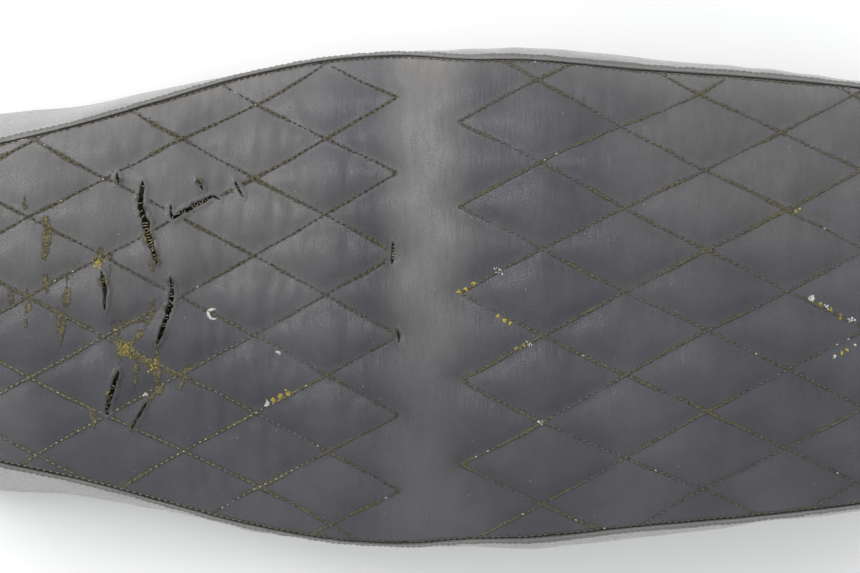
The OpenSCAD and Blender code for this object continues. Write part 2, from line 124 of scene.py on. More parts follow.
# Tears in the rider's zone: route in millimetres on the plan, half width
TEARS = [
    ([(-143, 66), (-144, 53), (-140.5, 41.5), (-139.5, 36.5), (-135, 20.5)], 1.7),
    ([(-128, 53), (-127, 46), (-116, 52.5), (-105.5, 58), (-102, 56)], 1.1),
    ([(-114, 66), (-111, 61)], 0.6),
    ([(-94, 66), (-91, 60), (-89, 57)], 0.6),
    ([(-157, 71), (-156, 65)], 0.6),
    ([(-7, 31), (-8, 19)], 0.7),
    ([(-5, -16), (-4, -23)], 0.6),
    ([(-164, 17), (-162, 8), (-162, -4)], 0.9),
    ([(-128, 13), (-127, 6), (-128, -1), (-131, -10.5), (-133, -17), (-135.5, -23)], 1.2),
    ([(-141.5, -55), (-146, -62), (-150.5, -70)], 0.6),
    ([(-155.5, -37), (-158, -44), (-161, -53), (-163, -62)], 1.2),
]
# Cracks filled with growth: route in millimetres on the plan, half width
CRACKS = [
    ([(-193.5, 47), (-192, 38), (-193, 24)], 1.6), ([(-164.6, 31), (-164, 20)], 1.3),
    ([(-160, 28), (-159.5, 22)], 0.7), ([(-193, 15), (-192.5, 4)], 1.2),
    ([(-181.5, 17), (-181.5, 6), (-183.6, -13), (-185, -21)], 0.9),
    ([(-202.6, 7), (-202, -3), (-203, -13)], 0.8), ([(-187, -2), (-186, -15)], 1.1),
    ([(-211.7, 8), (-211.5, 0)], 1.3),
    ([(-158.5, -10), (-147, -10.5), (-137.5, -9.5)], 0.6),
    ([(-158.5, -10), (-155.6, -19.5), (-150.8, -24), (-146.5, -21), (-141, -14)], 1.1),
    ([(-141, -14), (-137.2, -7.5), (-138, 1)], 0.7), ([(-150.8, -24), (-146, -32)], 2.0),
    ([(-155.6, -32), (-156, -26.5), (-149.5, -28), (-142.5, -32), (-138, -36)], 1.3),
    ([(-146, -33), (-146, -40), (-148, -46)], 0.8),
    ([(-135, -24), (-135.8, -36), (-135, -48), (-141.5, -55)], 1.7),
    ([(-131, -37.5), (-122, -41), (-119.5, -35)], 1.0), ([(-122, -41), (-124, -49)], 0.7),
    ([(-205, 58), (-204, 50)], 0.8), ([(-159, 21), (-161, 12)], 0.8),
    ([(-138, 24), (-137, 17)], 0.9), ([(-171, -58), (-170, -68)], 0.7),
]
# Lichen: place in millimetres on the plan, spread in millimetres, count
WHITE_LICHEN = [
    (213, -1, 2.6, 22), (221, -5, 2, 6), (235, -12.5, 2.6, 9), (236.5, -26, 0.9, 4),
    (224.5, -31.5, 1.4, 7), (70, -65, 2.2, 9), (63.5, -23.5, 1.8, 7), (49, 15.5, 3, 9),
    (-77.5, -57, 2.2, 18), (-142, -50.8, 1.3, 12), (-70.5, -29, 1.6, 8),
]
YELLOW_LICHEN = [
    (27.5, 4, 1.2, 14), (31, 6, 1.3, 14), (35, 8.5, 1.2, 12), (47.5, -9, 1.2, 9),
    (51, -11, 1.3, 12), (54, -12.5, 1, 7), (57, -26, 1.2, 9), (60.5, -24.5, 1.3, 9),
    (-74, -55, 1.4, 14), (-70, -53, 1.6, 16), (-66, -51, 1.5, 14), (218, -3.5, 1.6, 8),
    (224, -7, 1.2, 7), (229, -9.5, 1.2, 6), (229, -29.5, 1, 6), (232, -28, 1, 6),
    (206, 45, 1.6, 8), (-166, 21, 4, 22), (-151, -26, 5, 22), (-137, -34, 5, 16),
]

FLAKE_PLACE = (-105.5 * MM, -7 * MM)
FLAKE_R = 2.7 * MM
FLAKE_THICKNESS = 1.25 * MM

# ------------------------------------------------------------ shape of the seat


def curve(table, x):
    """Smooth curve through (position, value) pairs, the same as the frame's."""
    xs, ys = (np.array(c, float) for c in zip(*table))
    slopes = np.empty_like(ys)
    slopes[1:-1] = (ys[2:] - ys[:-2]) / (xs[2:] - xs[:-2])
    slopes[0] = (ys[1] - ys[0]) / (xs[1] - xs[0])
    slopes[-1] = (ys[-1] - ys[-2]) / (xs[-1] - xs[-2])
    i = np.clip(np.searchsorted(xs, x, side="right") - 1, 0, len(xs) - 2)
    h = xs[i + 1] - xs[i]
    t = (x - xs[i]) / h
    return (
        (2 * t**3 - 3 * t**2 + 1) * ys[i] + (t**3 - 2 * t**2 + t) * h * slopes[i]
        + (3 * t**2 - 2 * t**3) * ys[i + 1] + (t**3 - t**2) * h * slopes[i + 1]
    )


def smooth(low, high, x):
    t = np.clip((x - low) / (high - low), 0, 1)
    return t * t * (3 - 2 * t)


def bell(distance, width):
    """1 at no distance, falling smoothly to nothing past the width."""
    return np.exp(-((distance / width) ** 2))


def rounding(d, r):
    inner = 1 - np.clip(1 - np.maximum(d, 0) / r, 0, 1) ** ROUND_POWER
    return np.maximum(inner, 0) ** (1 / ROUND_POWER)


def share(x):
    return (x - NOSE_X) / LENGTH


def full_seam_y(x):
    return HALF_WIDTH * curve(SEAM_PLAN, share(x))


def seam_end(x):
    return (
        rounding(x - NOSE_X - SEAM_NOSE_INSET, NOSE_ROUND)
        * rounding(TAIL_X - SEAM_TAIL_INSET - x, TAIL_ROUND)
    )


def seam_y(x):
    return full_seam_y(x) * seam_end(x)


def base_y(x):
    ends = rounding(x - NOSE_X, NOSE_ROUND) * rounding(TAIL_X - x, TAIL_ROUND)
    return HALF_WIDTH * curve(BASE_PLAN, share(x)) * ends


def seam_z(x):
    return curve(CROWN_LINE, share(x)) - CROWN_RATIO * full_seam_y(x)


def top_z(x, v):
    return seam_z(x) + CROWN_RATIO * seam_y(x) * (1 - np.abs(v) ** CROWN_POWER)


def seam_x(a):
    return mix(NOSE_X + SEAM_NOSE_INSET, TAIL_X - SEAM_TAIL_INSET, a)


def stations(count, crowd=0.07):
    """Shares of the length from 0 to 1, evenly spaced but closer at both ends."""
    u = (np.arange(count - 1) + 0.5) / (count - 1)
    step = np.minimum(1, 0.012 + np.minimum(u, 1 - u) / crowd)
    return np.concatenate([[0], np.cumsum(step) / step.sum()])


def lattice_noise(x, y, size, seed):
    """Smooth random field from -1 to 1 with features of a given size."""
    values = np.random.default_rng(seed).uniform(-1, 1, (256, 256))
    gx, gy = x / size + 97.3, y / size + 61.7
    ix, iy = np.floor(gx).astype(int), np.floor(gy).astype(int)
    tx, ty = smooth(0, 1, gx - ix), smooth(0, 1, gy - iy)
    c00, c10 = values[ix % 256, iy % 256], values[(ix + 1) % 256, iy % 256]
    c01, c11 = values[ix % 256, (iy + 1) % 256], values[(ix + 1) % 256, (iy + 1) % 256]
    return mix(mix(c00, c10, tx), mix(c01, c11, tx), ty)


def route_distance(x, y, route):
    """Distance on the plan from points to a route given in millimetres."""
    best = np.full(np.shape(x), 1.0)
    along = np.zeros(np.shape(x))
    points = np.array(route) * MM
    for k, (p, q) in enumerate(zip(points[:-1], points[1:])):
        d = q - p
        t = np.clip(((x - p[0]) * d[0] + (y - p[1]) * d[1]) / (d @ d), 0, 1)
        r = np.hypot(x - p[0] - t * d[0], y - p[1] - t * d[1])
        along = np.where(r < best, (k + t) / (len(points) - 1), along)
        best = np.minimum(best, r)
    return best, along


def slit_gap(x, y, slits):
    """How far a point is inside the nearest slit: positive inside, in metres."""
    gap = np.full(np.shape(x), -1.0)
    for route, half in slits:
        r, along = route_distance(x, y, route)
        width = half * MM * np.sqrt(np.sin(math.pi * along).clip(0, 1))
        gap = np.maximum(gap, width - r)
    return gap


def tear_gap(x, y):
    return slit_gap(x, y, TEARS)


def passenger_width(x):
    t = smooth(PASSENGER_NARROWS[0], PASSENGER_NARROWS[1], x)
    return mix(PASSENGER_WIDTHS[0], PASSENGER_WIDTHS[1], t)


def wander(x, y):
    """The small sideways wander of hand-guided quilting lines."""
    return 0.7 * MM * lattice_noise(x, y, 55 * MM, 3) + 0.4 * MM * lattice_noise(x, y, 14 * MM, 4)


def line_distances(x, y):
    """Distances from each point to the nearest line of both diagonal families."""
    y = y + wander(x, y)
    rider = x < (RIDER_TIP_X + PASSENGER_TIP_X) / 2
    length = np.where(rider, RIDER_DIAMOND[0], PASSENGER_LENGTH)
    width = np.where(rider, RIDER_DIAMOND[1], passenger_width(x))
    p = np.where(rider, x - RIDER_TIP_X, x - PASSENGER_TIP_X) / length
    q = (y - np.where(rider, RIDER_CENTRE_Y, PASSENGER_CENTRE_Y)) / width
    q = np.where(rider, q + 0.5, q)
    slope = np.hypot(1 / length, 1 / width)
    out = []
    for f in (p + q, p - q):
        out.append(np.abs(f - np.round(f)) / slope)
    past = np.where(rider, x - RIDER_TIP_X, PASSENGER_TIP_X - x)
    tip = np.abs(q - np.round(q)) * width
    to_tip = np.hypot(np.maximum(past, 0), tip)
    return [np.where(past > 0, np.maximum(to_tip, past), d) for d in out], past, to_tip


# --------------------------------------------------------------- mesh helpers


def new_piece(name, points, faces, material, body="seat"):
    """A smooth-shaded mesh that rides on a body and material."""
    mesh = bpy.data.meshes.new(name)
    mesh.vertices.add(len(points))
    mesh.vertices.foreach_set("co", np.asarray(points, np.float32).ravel())
    faces = np.asarray(faces, np.int32)
    corners = faces.shape[1]
    mesh.loops.add(faces.size)
    mesh.loops.foreach_set("vertex_index", faces.ravel())
    mesh.polygons.add(len(faces))
    mesh.polygons.foreach_set("loop_start", np.arange(len(faces), dtype=np.int32) * corners)
    mesh.update(calc_edges=True)
    mesh.validate()
    mesh.polygons.foreach_set("use_smooth", np.ones(len(mesh.polygons), bool))
    piece = bpy.data.objects.new(name, mesh)
    bpy.context.scene.collection.objects.link(piece)
    mesh.materials.append(material)
    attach(piece, body)
    return piece


def paint(piece, **fields):
    """Stores named values on the points of a piece, for its material to read."""
    for name, values in fields.items():
        layer = piece.data.attributes.new(name, "FLOAT", "POINT")
        layer.data.foreach_set("value", np.asarray(values, np.float32).ravel())


def grid_faces(rows, columns, keep=None):
    index = np.arange(rows * columns).reshape(rows, columns)
    faces = np.stack([index[:-1, :-1], index[1:, :-1], index[1:, 1:], index[:-1, 1:]], -1)
    faces = faces.reshape(-1, 4)
    return faces if keep is None else faces[keep.ravel()]


def drop_loose(points, faces, *fields):
    """Keeps only the points that a face uses, and renumbers the faces."""
    used = np.unique(faces)
    number = np.full(len(points), -1)
    number[used] = np.arange(len(used))
    return (points[used], number[faces], *[f.reshape(-1)[used] for f in fields])


def grid_normals(points):
    du = np.gradient(points, axis=0)
    dv = np.gradient(points, axis=1)
    n = np.cross(du, dv)
    n /= np.maximum(np.linalg.norm(n, axis=2, keepdims=True), 1e-12)
    return n


def blur(field, times):
    for _ in range(times):
        padded = np.pad(field, 1, mode="edge")
        field = (
            4 * padded[1:-1, 1:-1] + padded[:-2, 1:-1] + padded[2:, 1:-1]
            + padded[1:-1, :-2] + padded[1:-1, 2:]
        ) / 8
    return field


class Surface:
    """A dense grid of points with normals, read at fractional row and column."""

    def __init__(self, points):
        self.points = points
        self.normals = grid_normals(points)

    def at(self, row, column):
        rows, columns = self.points.shape[:2]
        row = np.clip(row, 0, rows - 1.001)
        column = np.clip(column, 0, columns - 1.001)
        i, j = row.astype(int), column.astype(int)
        s, t = (row - i)[:, None], (column - j)[:, None]
        out = []
        for g in (self.points, self.normals):
            near = mix(g[i, j], g[i, j + 1], t)
            far = mix(g[i + 1, j], g[i + 1, j + 1], t)
            out.append(mix(near, far, s))
        out[1] /= np.linalg.norm(out[1], axis=1, keepdims=True)
        return out


def threads(ends_a, ends_b, normals, radius, lift, sides=6):
    """Closed stitches from a to b that dive into the cloth at both ends."""
    rise = np.array([-1.1, 0.35, 0.8, 0.8, 0.35, -1.1]) * lift
    place = np.array([0, 0.12, 0.36, 0.64, 0.88, 1])
    size = np.array([0.55, 0.95, 1, 1, 0.95, 0.55])
    count, rings = len(ends_a), len(place)
    tangent = ends_b - ends_a
    tangent /= np.linalg.norm(tangent, axis=1, keepdims=True)
    side = np.cross(normals, tangent)
    side /= np.linalg.norm(side, axis=1, keepdims=True)
    angle = np.arange(sides) * 2 * math.pi / sides
    centre = (
        ends_a[:, None] + (ends_b - ends_a)[:, None] * place[None, :, None]
        + normals[:, None] * rise[None, :, None]
    )
    spoke = (
        side[:, None, None] * np.cos(angle)[None, None, :, None]
        + normals[:, None, None] * np.sin(angle)[None, None, :, None]
    )
    points = centre[:, :, None] + spoke * (radius * size)[None, :, None, None]
    points = points.reshape(-1, 3)
    k = np.arange(sides)
    ring = np.stack([k, (k + 1) % sides, (k + 1) % sides + sides, k + sides], 1)
    tube = np.concatenate([ring + r * sides for r in range(rings - 1)])
    faces = tube[None] + (np.arange(count) * sides * rings)[:, None, None]
    return points, faces.reshape(-1, 4)


def clumps(centres, normals, radii, flatness, seed):
    """Irregular flattened crumbs sitting on a surface."""
    golden = (1 + 5**0.5) / 2
    corners = np.array([
        (-1, golden, 0), (1, golden, 0), (-1, -golden, 0), (1, -golden, 0),
        (0, -1, golden), (0, 1, golden), (0, -1, -golden), (0, 1, -golden),
        (golden, 0, -1), (golden, 0, 1), (-golden, 0, -1), (-golden, 0, 1),
    ]) / math.hypot(1, golden)
    triangles = np.array([
        (0, 11, 5), (0, 5, 1), (0, 1, 7), (0, 7, 10), (0, 10, 11), (1, 5, 9), (5, 11, 4),
        (11, 10, 2), (10, 7, 6), (7, 1, 8), (3, 9, 4), (3, 4, 2), (3, 2, 6), (3, 6, 8),
        (3, 8, 9), (4, 9, 5), (2, 4, 11), (6, 2, 10), (8, 6, 7), (9, 8, 1),
    ])
    rng = np.random.default_rng(seed)
    count = len(centres)
    spokes = corners[None] * rng.uniform(0.65, 1.25, (count, 12, 1))
    spin = rng.uniform(0, 2 * math.pi, count)
    c, s = np.cos(spin)[:, None], np.sin(spin)[:, None]
    across = np.cross(normals, [1, 0, 0])
    across /= np.linalg.norm(across, axis=1, keepdims=True)
    other = np.cross(normals, across)
    x = spokes[..., 0] * c - spokes[..., 1] * s
    y = spokes[..., 0] * s + spokes[..., 1] * c
    points = (
        centres[:, None]
        + (across[:, None] * x[..., None] + other[:, None] * y[..., None]) * radii[:, None, None]
        + normals[:, None] * spokes[..., 2:] * (radii * flatness)[:, None, None]
    )
    faces = triangles[None] + (np.arange(count) * 12)[:, None, None]
    return points.reshape(-1, 3), faces.reshape(-1, 3)


# ------------------------------------------------------------------ materials


class Graph:
    """Short names for building a material's nodes."""

    def __init__(self, name):
        self.material = bpy.data.materials.new(name)
        self.material.use_nodes = True
        self.nodes = self.material.node_tree.nodes
        self.links = self.material.node_tree.links
        self.shader = self.nodes["Principled BSDF"]
        self.place = self.nodes.new("ShaderNodeTexCoord").outputs["Object"]

    def put(self, socket, value):
        if isinstance(value, bpy.types.NodeSocket):
            self.links.new(value, socket)
        else:
            socket.default_value = value

    def add(self, kind, output, inputs, **settings):
        """A new node with its inputs set or linked; gives one of its outputs."""
        node = self.nodes.new("ShaderNode" + kind)
        for name, value in settings.items():
            setattr(node, name, value)
        for key, value in inputs.items():
            self.put(node.inputs[key], value)
        return node.outputs[output]

    def noise(self, size, detail=4, rough=0.55, stretch=(1, 1, 1)):
        place = self.add("Mapping", "Vector", {"Vector": self.place, "Scale": stretch})
        inputs = {"Vector": place, "Scale": 1 / size, "Detail": detail, "Roughness": rough}
        return self.add("TexNoise", "Fac", inputs)

    def cells(self, size, feature="F1"):
        inputs = {"Vector": self.place, "Scale": 1 / size}
        return self.add("TexVoronoi", "Distance", inputs, feature=feature)

    def ramp(self, value, low, high, out_low=0, out_high=1):
        keys = ("Value", "From Min", "From Max", "To Min", "To Max")
        inputs = dict(zip(keys, (value, low, high, out_low, out_high)))
        return self.add("MapRange", "Result", inputs, interpolation_type="SMOOTHSTEP")

    def math(self, operation, a, b=0.0):
        return self.add("Math", 0, {0: a, 1: b}, operation=operation)

    def mixed(self, factor, a, b):
        a, b = ((*c, 1) if isinstance(c, tuple) else c for c in (a, b))
        return self.add("Mix", 2, {"Factor": factor, 6: a, 7: b}, data_type="RGBA")

    def field(self, name):
        return self.add("Attribute", "Fac", {}, attribute_name=name)

    def bumped(self, layers):
        """Stacks (height, depth in metres) layers into one normal."""
        normal = None
        for height, depth in layers:
            inputs = {"Strength": 1, "Distance": depth, "Height": height}
            if normal:
                inputs["Normal"] = normal
            normal = self.add("Bump", "Normal", inputs)
        self.put(self.shader.inputs["Normal"], normal)

    def finish(self, color, roughness, metallic=0.0, **sockets):
        self.put(self.shader.inputs["Base Color"], color)
        self.put(self.shader.inputs["Roughness"], roughness)
        self.shader.inputs["Metallic"].default_value = metallic
        for name, value in sockets.items():
            self.shader.inputs[name.replace("_", " ")].default_value = value
        return self.material


MOSS_DARK = (0.058, 0.053, 0.035)
MOSS_OLIVE = (0.142, 0.129, 0.080)
MOSS_YELLOW = (0.265, 0.222, 0.080)
# Pale film laid by the dust field: real dust, and painted light
DUST_AND_LIGHT = (0.190, 0.181, 0.172)
# Near black: painted shade in seam grooves, stitch valleys and tear walls, and grime on the side's
# welt
GRIME_AND_SHADE = (0.016, 0.015, 0.012)


VINYL_FIELDS = ("moss", "bright_moss", "dust", "crease", "torn")


def vinyl(name, dark, light, gloss, coat=0.0):
    g = Graph(name)
    blotch = g.noise(70 * MM, 5, 0.6)
    mottle = g.noise(9 * MM, 6, 0.65)
    color = g.mixed(g.ramp(blotch, 0.35, 0.68), dark, light)
    worn = g.mixed(g.ramp(mottle, 0.45, 0.75), color, tuple(c * 1.15 for c in light))
    color = g.mixed(g.math("MULTIPLY", g.ramp(blotch, 0.3, 0.7), 0.5), color, worn)
    film = g.ramp(g.noise(5 * MM, 6, 0.6, (1, 0.35, 0.35)), 0.25, 0.85, 0.66, 1)
    # The dust field's pale film: real dust, and painted light where it grows towards the right-hand
    # side
    dust_and_light = g.math("MULTIPLY", g.field("dust"), film)
    color = g.mixed(dust_and_light, color, DUST_AND_LIGHT)
    grain = g.cells(1.25 * MM, "DISTANCE_TO_EDGE")
    color = g.mixed(g.ramp(grain, 0.10, 0.0, 0, 0.25), color, tuple(c * 0.6 for c in dark))
    specks = g.cells(11 * MM)
    color = g.mixed(g.ramp(specks, 0.036, 0.018, 0, 0.7), color, (0.42, 0.41, 0.37))
    crumbs = g.noise(1.6 * MM, 5, 0.7)
    moss = g.ramp(g.math("ADD", g.field("moss"), g.math("MULTIPLY", crumbs, 0.9)), 0.72, 1.1)
    grains = g.noise(1.1 * MM, 3, 0.7)
    tone = g.mixed(g.ramp(grains, 0.40, 0.56), MOSS_DARK, MOSS_OLIVE)
    lit = g.math("MULTIPLY", g.field("bright_moss"), g.ramp(grains, 0.42, 0.60, 0.15, 1))
    tone = g.mixed(lit, tone, MOSS_YELLOW)
    color = g.mixed(moss, color, tone)
    # Painted shade in grooves and down into the tears, with real grime on the side's welt
    color = g.mixed(g.field("torn"), color, GRIME_AND_SHADE)
    creases = g.noise(2.6 * MM, 3, 0.6, (1, 0.16, 0.16))
    cracks = g.math("MULTIPLY", g.ramp(creases, 0.40, 0.56), g.field("crease"))
    g.bumped([
        (g.ramp(grain, 0, 0.12), 0.10 * MM),
        (cracks, 0.22 * MM),
        (mottle, 0.15 * MM),
        (g.math("MULTIPLY", moss, crumbs), 1.2 * MM),
    ])
    matt = g.math("ADD", moss, g.math("MULTIPLY", mottle, 0.4))
    rough = g.ramp(matt, 0.1, 1, gloss, 0.9)
    return g.finish(color, rough, Specular_IOR_Level=0.45, Coat_Weight=coat, Coat_Roughness=0.35)


def crusty(name, dark, light, size):
    g = Graph(name)
    grit = g.noise(size, 5, 0.7)
    color = g.mixed(g.ramp(grit, 0.3, 0.7), dark, light)
    g.bumped([(grit, 0.5 * MM)])
    return g.finish(color, 0.95, Specular_IOR_Level=0.2)


def fibre(name, dark, light, pale=None):
    g = Graph(name)
    strands = g.noise(0.7 * MM, 3, 0.6, (1, 0.3, 0.3))
    color = g.mixed(g.ramp(strands, 0.35, 0.65), dark, light)
    if pale:
        color = g.mixed(g.field("pale"), color, pale)
    g.bumped([(strands, 0.3 * MM)])
    return g.finish(color, 0.85, Specular_IOR_Level=0.25)


def foam_material():
    g = Graph("open_cell_foam")
    pores = g.cells(1.1 * MM)
    # Dark stains, darkened further as painted shade inside the tears
    stain_and_shade = g.noise(12 * MM, 5, 0.6)
    color = g.mixed(g.ramp(stain_and_shade, 0.35, 0.7), (0.085, 0.070, 0.036), (0.022, 0.020, 0.012))
    color = g.mixed(g.ramp(pores, 0.5, 0.2), color, (0.010, 0.009, 0.006))
    g.bumped([(pores, 0.6 * MM)])
    return g.finish(color, 0.95, Specular_IOR_Level=0.15)


def moulded(name, color, roughness, grain_size, depth):
    g = Graph(name)
    fine = g.noise(grain_size, 3)
    scuffs = g.noise(18 * MM, 6, 0.7)
    tint = g.mixed(g.ramp(scuffs, 0.5, 0.75), color, tuple(c * 1.9 + 0.012 for c in color))
    dust = g.noise(45 * MM, 4)
    tint = g.mixed(g.ramp(dust, 0.5, 0.8, 0, 0.35), tint, (0.12, 0.105, 0.085))
    g.bumped([(fine, depth)])
    rough = g.ramp(scuffs, 0.3, 0.8, roughness - 0.08, roughness + 0.15)
    return g.finish(tint, rough, Specular_IOR_Level=0.4)


def metal(name, color, roughness, rust):
    g = Graph(name)
    streaks = g.noise(1.5 * MM, 4, 0.6, (0.15, 1, 1))
    patches = g.noise(9 * MM, 6, 0.7)
    tint = g.mixed(g.ramp(streaks, 0.3, 0.7), color, tuple(c * 0.72 for c in color))
    tint = g.mixed(g.ramp(patches, 0.62, 0.74, 0, rust), tint, (0.16, 0.065, 0.025))
    g.bumped([(streaks, 0.03 * MM), (g.ramp(patches, 0.6, 0.75), 0.08 * MM)])
    rough = g.ramp(patches, 0.4, 0.75, roughness, roughness + 0.35)
    return g.finish(tint, rough, 1.0)


def painted(name, color, rust):
    g = Graph(name)
    chips = g.noise(6 * MM, 7, 0.75)
    tint = g.mixed(g.ramp(chips, 0.64, 0.70, 0, rust), color, (0.20, 0.085, 0.035))
    orange_peel = g.noise(1.2 * MM, 2)
    g.bumped([(orange_peel, 0.02 * MM), (g.ramp(chips, 0.70, 0.64), 0.1 * MM)])
    rough = g.ramp(chips, 0.5, 0.7, 0.35, 0.8)
    return g.finish(tint, rough, Specular_IOR_Level=0.5)


# ------------------------------------------------------------------ soft parts

TOP_ROWS, TOP_COLUMNS = 470, 196
# The cloth simulation's grid, frames, sewn distance and greatest rise
SIM_ROWS, SIM_COLUMNS = 170, 68
SIM_FRAMES = 20
SIM_END = 0.01
SIM_SEWN = 2.3 * MM
SIM_CAP = 9 * MM
# The grid stops this far outside each tear, under the curled edges
HOLE_MARGIN = 0.5 * MM
top_a = stations(TOP_ROWS)
top_x = seam_x(top_a)
top_half = seam_y(top_x)
# Columns lie a little closer near the seams, where the panel turns down
column_v = np.linspace(-1, 1, TOP_COLUMNS)
column_v = 1.12 * column_v - 0.12 * column_v**3


def seam_normal_y():
    step = np.gradient(top_half, top_x)
    return 1 / np.hypot(1, step)


def top_fields():
    """Plan positions, distance from the seam, and quilt and tear fields."""
    x = np.repeat(top_x[:, None], TOP_COLUMNS, 1)
    y = top_half[:, None] * column_v[None]
    edge = (top_half[:, None] - np.abs(y)) * seam_normal_y()[:, None]
    (d1, d2), past, to_tip = line_distances(x, y)
    return x, y, edge, d1, d2, past, to_tip


def sheet_grid(rows, columns):
    """The smooth top surface on a grid: points, shares across, and seam distance."""
    xs = seam_x(np.linspace(SIM_END, 1 - SIM_END, rows))
    v = np.linspace(-1, 1, columns)
    x = np.repeat(xs[:, None], columns, 1)
    y = seam_y(xs)[:, None] * v[None]
    edge = seam_y(xs)[:, None] - np.abs(y)
    return np.stack([x, y, top_z(x, v[None])], -1), v, edge


def swollen_quilt():
    """Blender's cloth blows the quilt up between its stitched lines.

    Gives the height over the smooth surface on a coarse grid, with that grid.
    """
    points, v, edge = sheet_grid(SIM_ROWS, SIM_COLUMNS)
    (d1, d2), past, to_tip = line_distances(points[..., 0], points[..., 1])
    line = np.where(past > 0, to_tip, np.minimum(d1, d2))
    sewn = (line < SIM_SEWN) | (edge < 2 * SIM_SEWN)
    faces = grid_faces(SIM_ROWS, SIM_COLUMNS)
    mesh = bpy.data.meshes.new("quilt_sheet")
    mesh.from_pydata(points.reshape(-1, 3).tolist(), [], faces.tolist())
    sheet = bpy.data.objects.new("quilt_sheet", mesh)
    scene = bpy.context.scene
    scene.collection.objects.link(sheet)
    group = sheet.vertex_groups.new(name="sewn")
    group.add(np.flatnonzero(sewn.ravel()).tolist(), 1, "REPLACE")
    cloth = sheet.modifiers.new("cloth", "CLOTH")
    settings = cloth.settings
    settings.quality = 6
    settings.mass = 0.3
    settings.tension_stiffness = settings.compression_stiffness = 3
    settings.shear_stiffness = 1
    settings.bending_stiffness = 2
    settings.shrink_min = -0.005
    settings.vertex_group_mass = "sewn"
    settings.use_pressure = True
    settings.uniform_pressure_force = 60
    settings.effector_weights.gravity = 0
    cloth.collision_settings.use_collision = False
    for frame_number in range(1, SIM_FRAMES + 1):
        scene.frame_set(frame_number)
    swollen = sheet.evaluated_get(bpy.context.evaluated_depsgraph_get()).to_mesh()
    after = np.empty(len(swollen.vertices) * 3, np.float32)
    swollen.vertices.foreach_get("co", after)
    bpy.data.objects.remove(sheet)
    bpy.data.meshes.remove(mesh)
    scene.frame_set(1)
    rise = ((after.reshape(points.shape) - points) * grid_normals(points)).sum(2)
    print("quilt rise, mm:", np.percentile(rise[~sewn] / MM, [5, 50, 80, 99]).round(2))
    rise = np.clip(rise, 0, SIM_CAP)
    return rise * PUFF / np.percentile(rise[~sewn], 80), points[:, 0, 0], v


def resampled(grid, row, column):
    rows, columns = grid.shape
    i = np.clip(row.astype(int), 0, rows - 2)
    j = np.clip(column.astype(int), 0, columns - 2)
    s, t = row - i, column - j
    return mix(mix(grid[i, j], grid[i, j + 1], t), mix(grid[i + 1, j], grid[i + 1, j + 1], t), s)


def simulated_height(x, d1, d2, past, to_tip):
    rise, sim_x, sim_v = swollen_quilt()
    row = np.interp(x, sim_x, np.arange(SIM_ROWS))
    column = np.interp(column_v, sim_v, np.arange(SIM_COLUMNS))
    rise = blur(resampled(rise, row, np.broadcast_to(column, row.shape)), 5)
    narrow = 0.45 * PUFF_REACH
    crease = np.tanh(d1 / narrow) * np.tanh(d2 / narrow)
    crease = np.where(past > 0, np.tanh(to_tip / narrow), crease)
    return rise * crease - STITCH_SINK


# Relief of the top: share sat flat, then depths of the sags, of the creases across the seat
# (in the zones, and how much less on the band), of the puckers by the stitches, of the waves
# along the seam, and of the rise round tears
SAT_FLAT = 0.25
SAG_DEPTH = 0.6 * MM
CREASE_DEPTH, CREASE_LOSS = 0.22, 0.12  # millimetres
PUCKER_DEPTH = 0.3 * MM
EDGE_WAVE = 0.25 * MM
TEAR_RISE = 0.8 * MM


def build_top():
    """The dense top panel, with the fields that its colours and openings follow."""
    x, y, edge, d1, d2, past, to_tip = top_fields()
    base = np.stack([x, y, top_z(x, column_v[None])], -1)
    normals = grid_normals(base)
    normals[0] = normals[1]
    normals[-1] = normals[-2]
    height = simulated_height(x, d1, d2, past, to_tip)
    worn = smooth(-60 * MM, -150 * MM, x)
    height *= 1 - SAT_FLAT * worn * smooth(0, 1, lattice_noise(x, y, 30 * MM, 9))
    height += SAG_DEPTH * lattice_noise(x, y, 38 * MM, 11)
    across = CREASE_DEPTH - CREASE_LOSS * smooth(-10 * MM, 5 * MM, past)
    height += across * MM * lattice_noise(x, y * 0.3, 5.5 * MM, 12)
    near_line = np.minimum(d1, d2)
    pucker = bell(near_line, 5 * MM) * (past <= 0)
    height += PUCKER_DEPTH * pucker * lattice_noise(x, y, 3.6 * MM, 13)
    height *= 0.12 + 0.88 * smooth(0, EDGE_FADE, edge)
    height += EDGE_WAVE * lattice_noise(x, np.sign(y), 9 * MM, 14) * (1 - smooth(0, 16 * MM, edge))
    height -= EDGE_DROP * np.clip(1 - edge / EDGE_ROLL, 0, 1) ** 2
    gap = tear_gap(x, y)
    height += TEAR_RISE * bell(np.minimum(gap, 0), 4 * MM)
    points = base + normals * blur(height, 1)[..., None]
    points[0], points[-1] = points[0].mean(0), points[-1].mean(0)
    surface = Surface(points)
    # Both ends shrink to a point, so the normals there come from rows further in
    for tip, inner in ((0, 3), (-1, -4)):
        mean = surface.normals[inner].mean(0)
        surface.normals[tip] = mean / np.linalg.norm(mean)
    surface.normals[1:3] = surface.normals[3]
    surface.normals[-3:-1] = surface.normals[-4]
    return surface, x, y, edge, near_line, past, to_tip, gap


# Moss and crumbs thicken between these two places along the seat, towards the nose
MOSSY_FRONT = (0.02, -0.19)
LINE_MOSS_WIDTH = 1.0 * MM


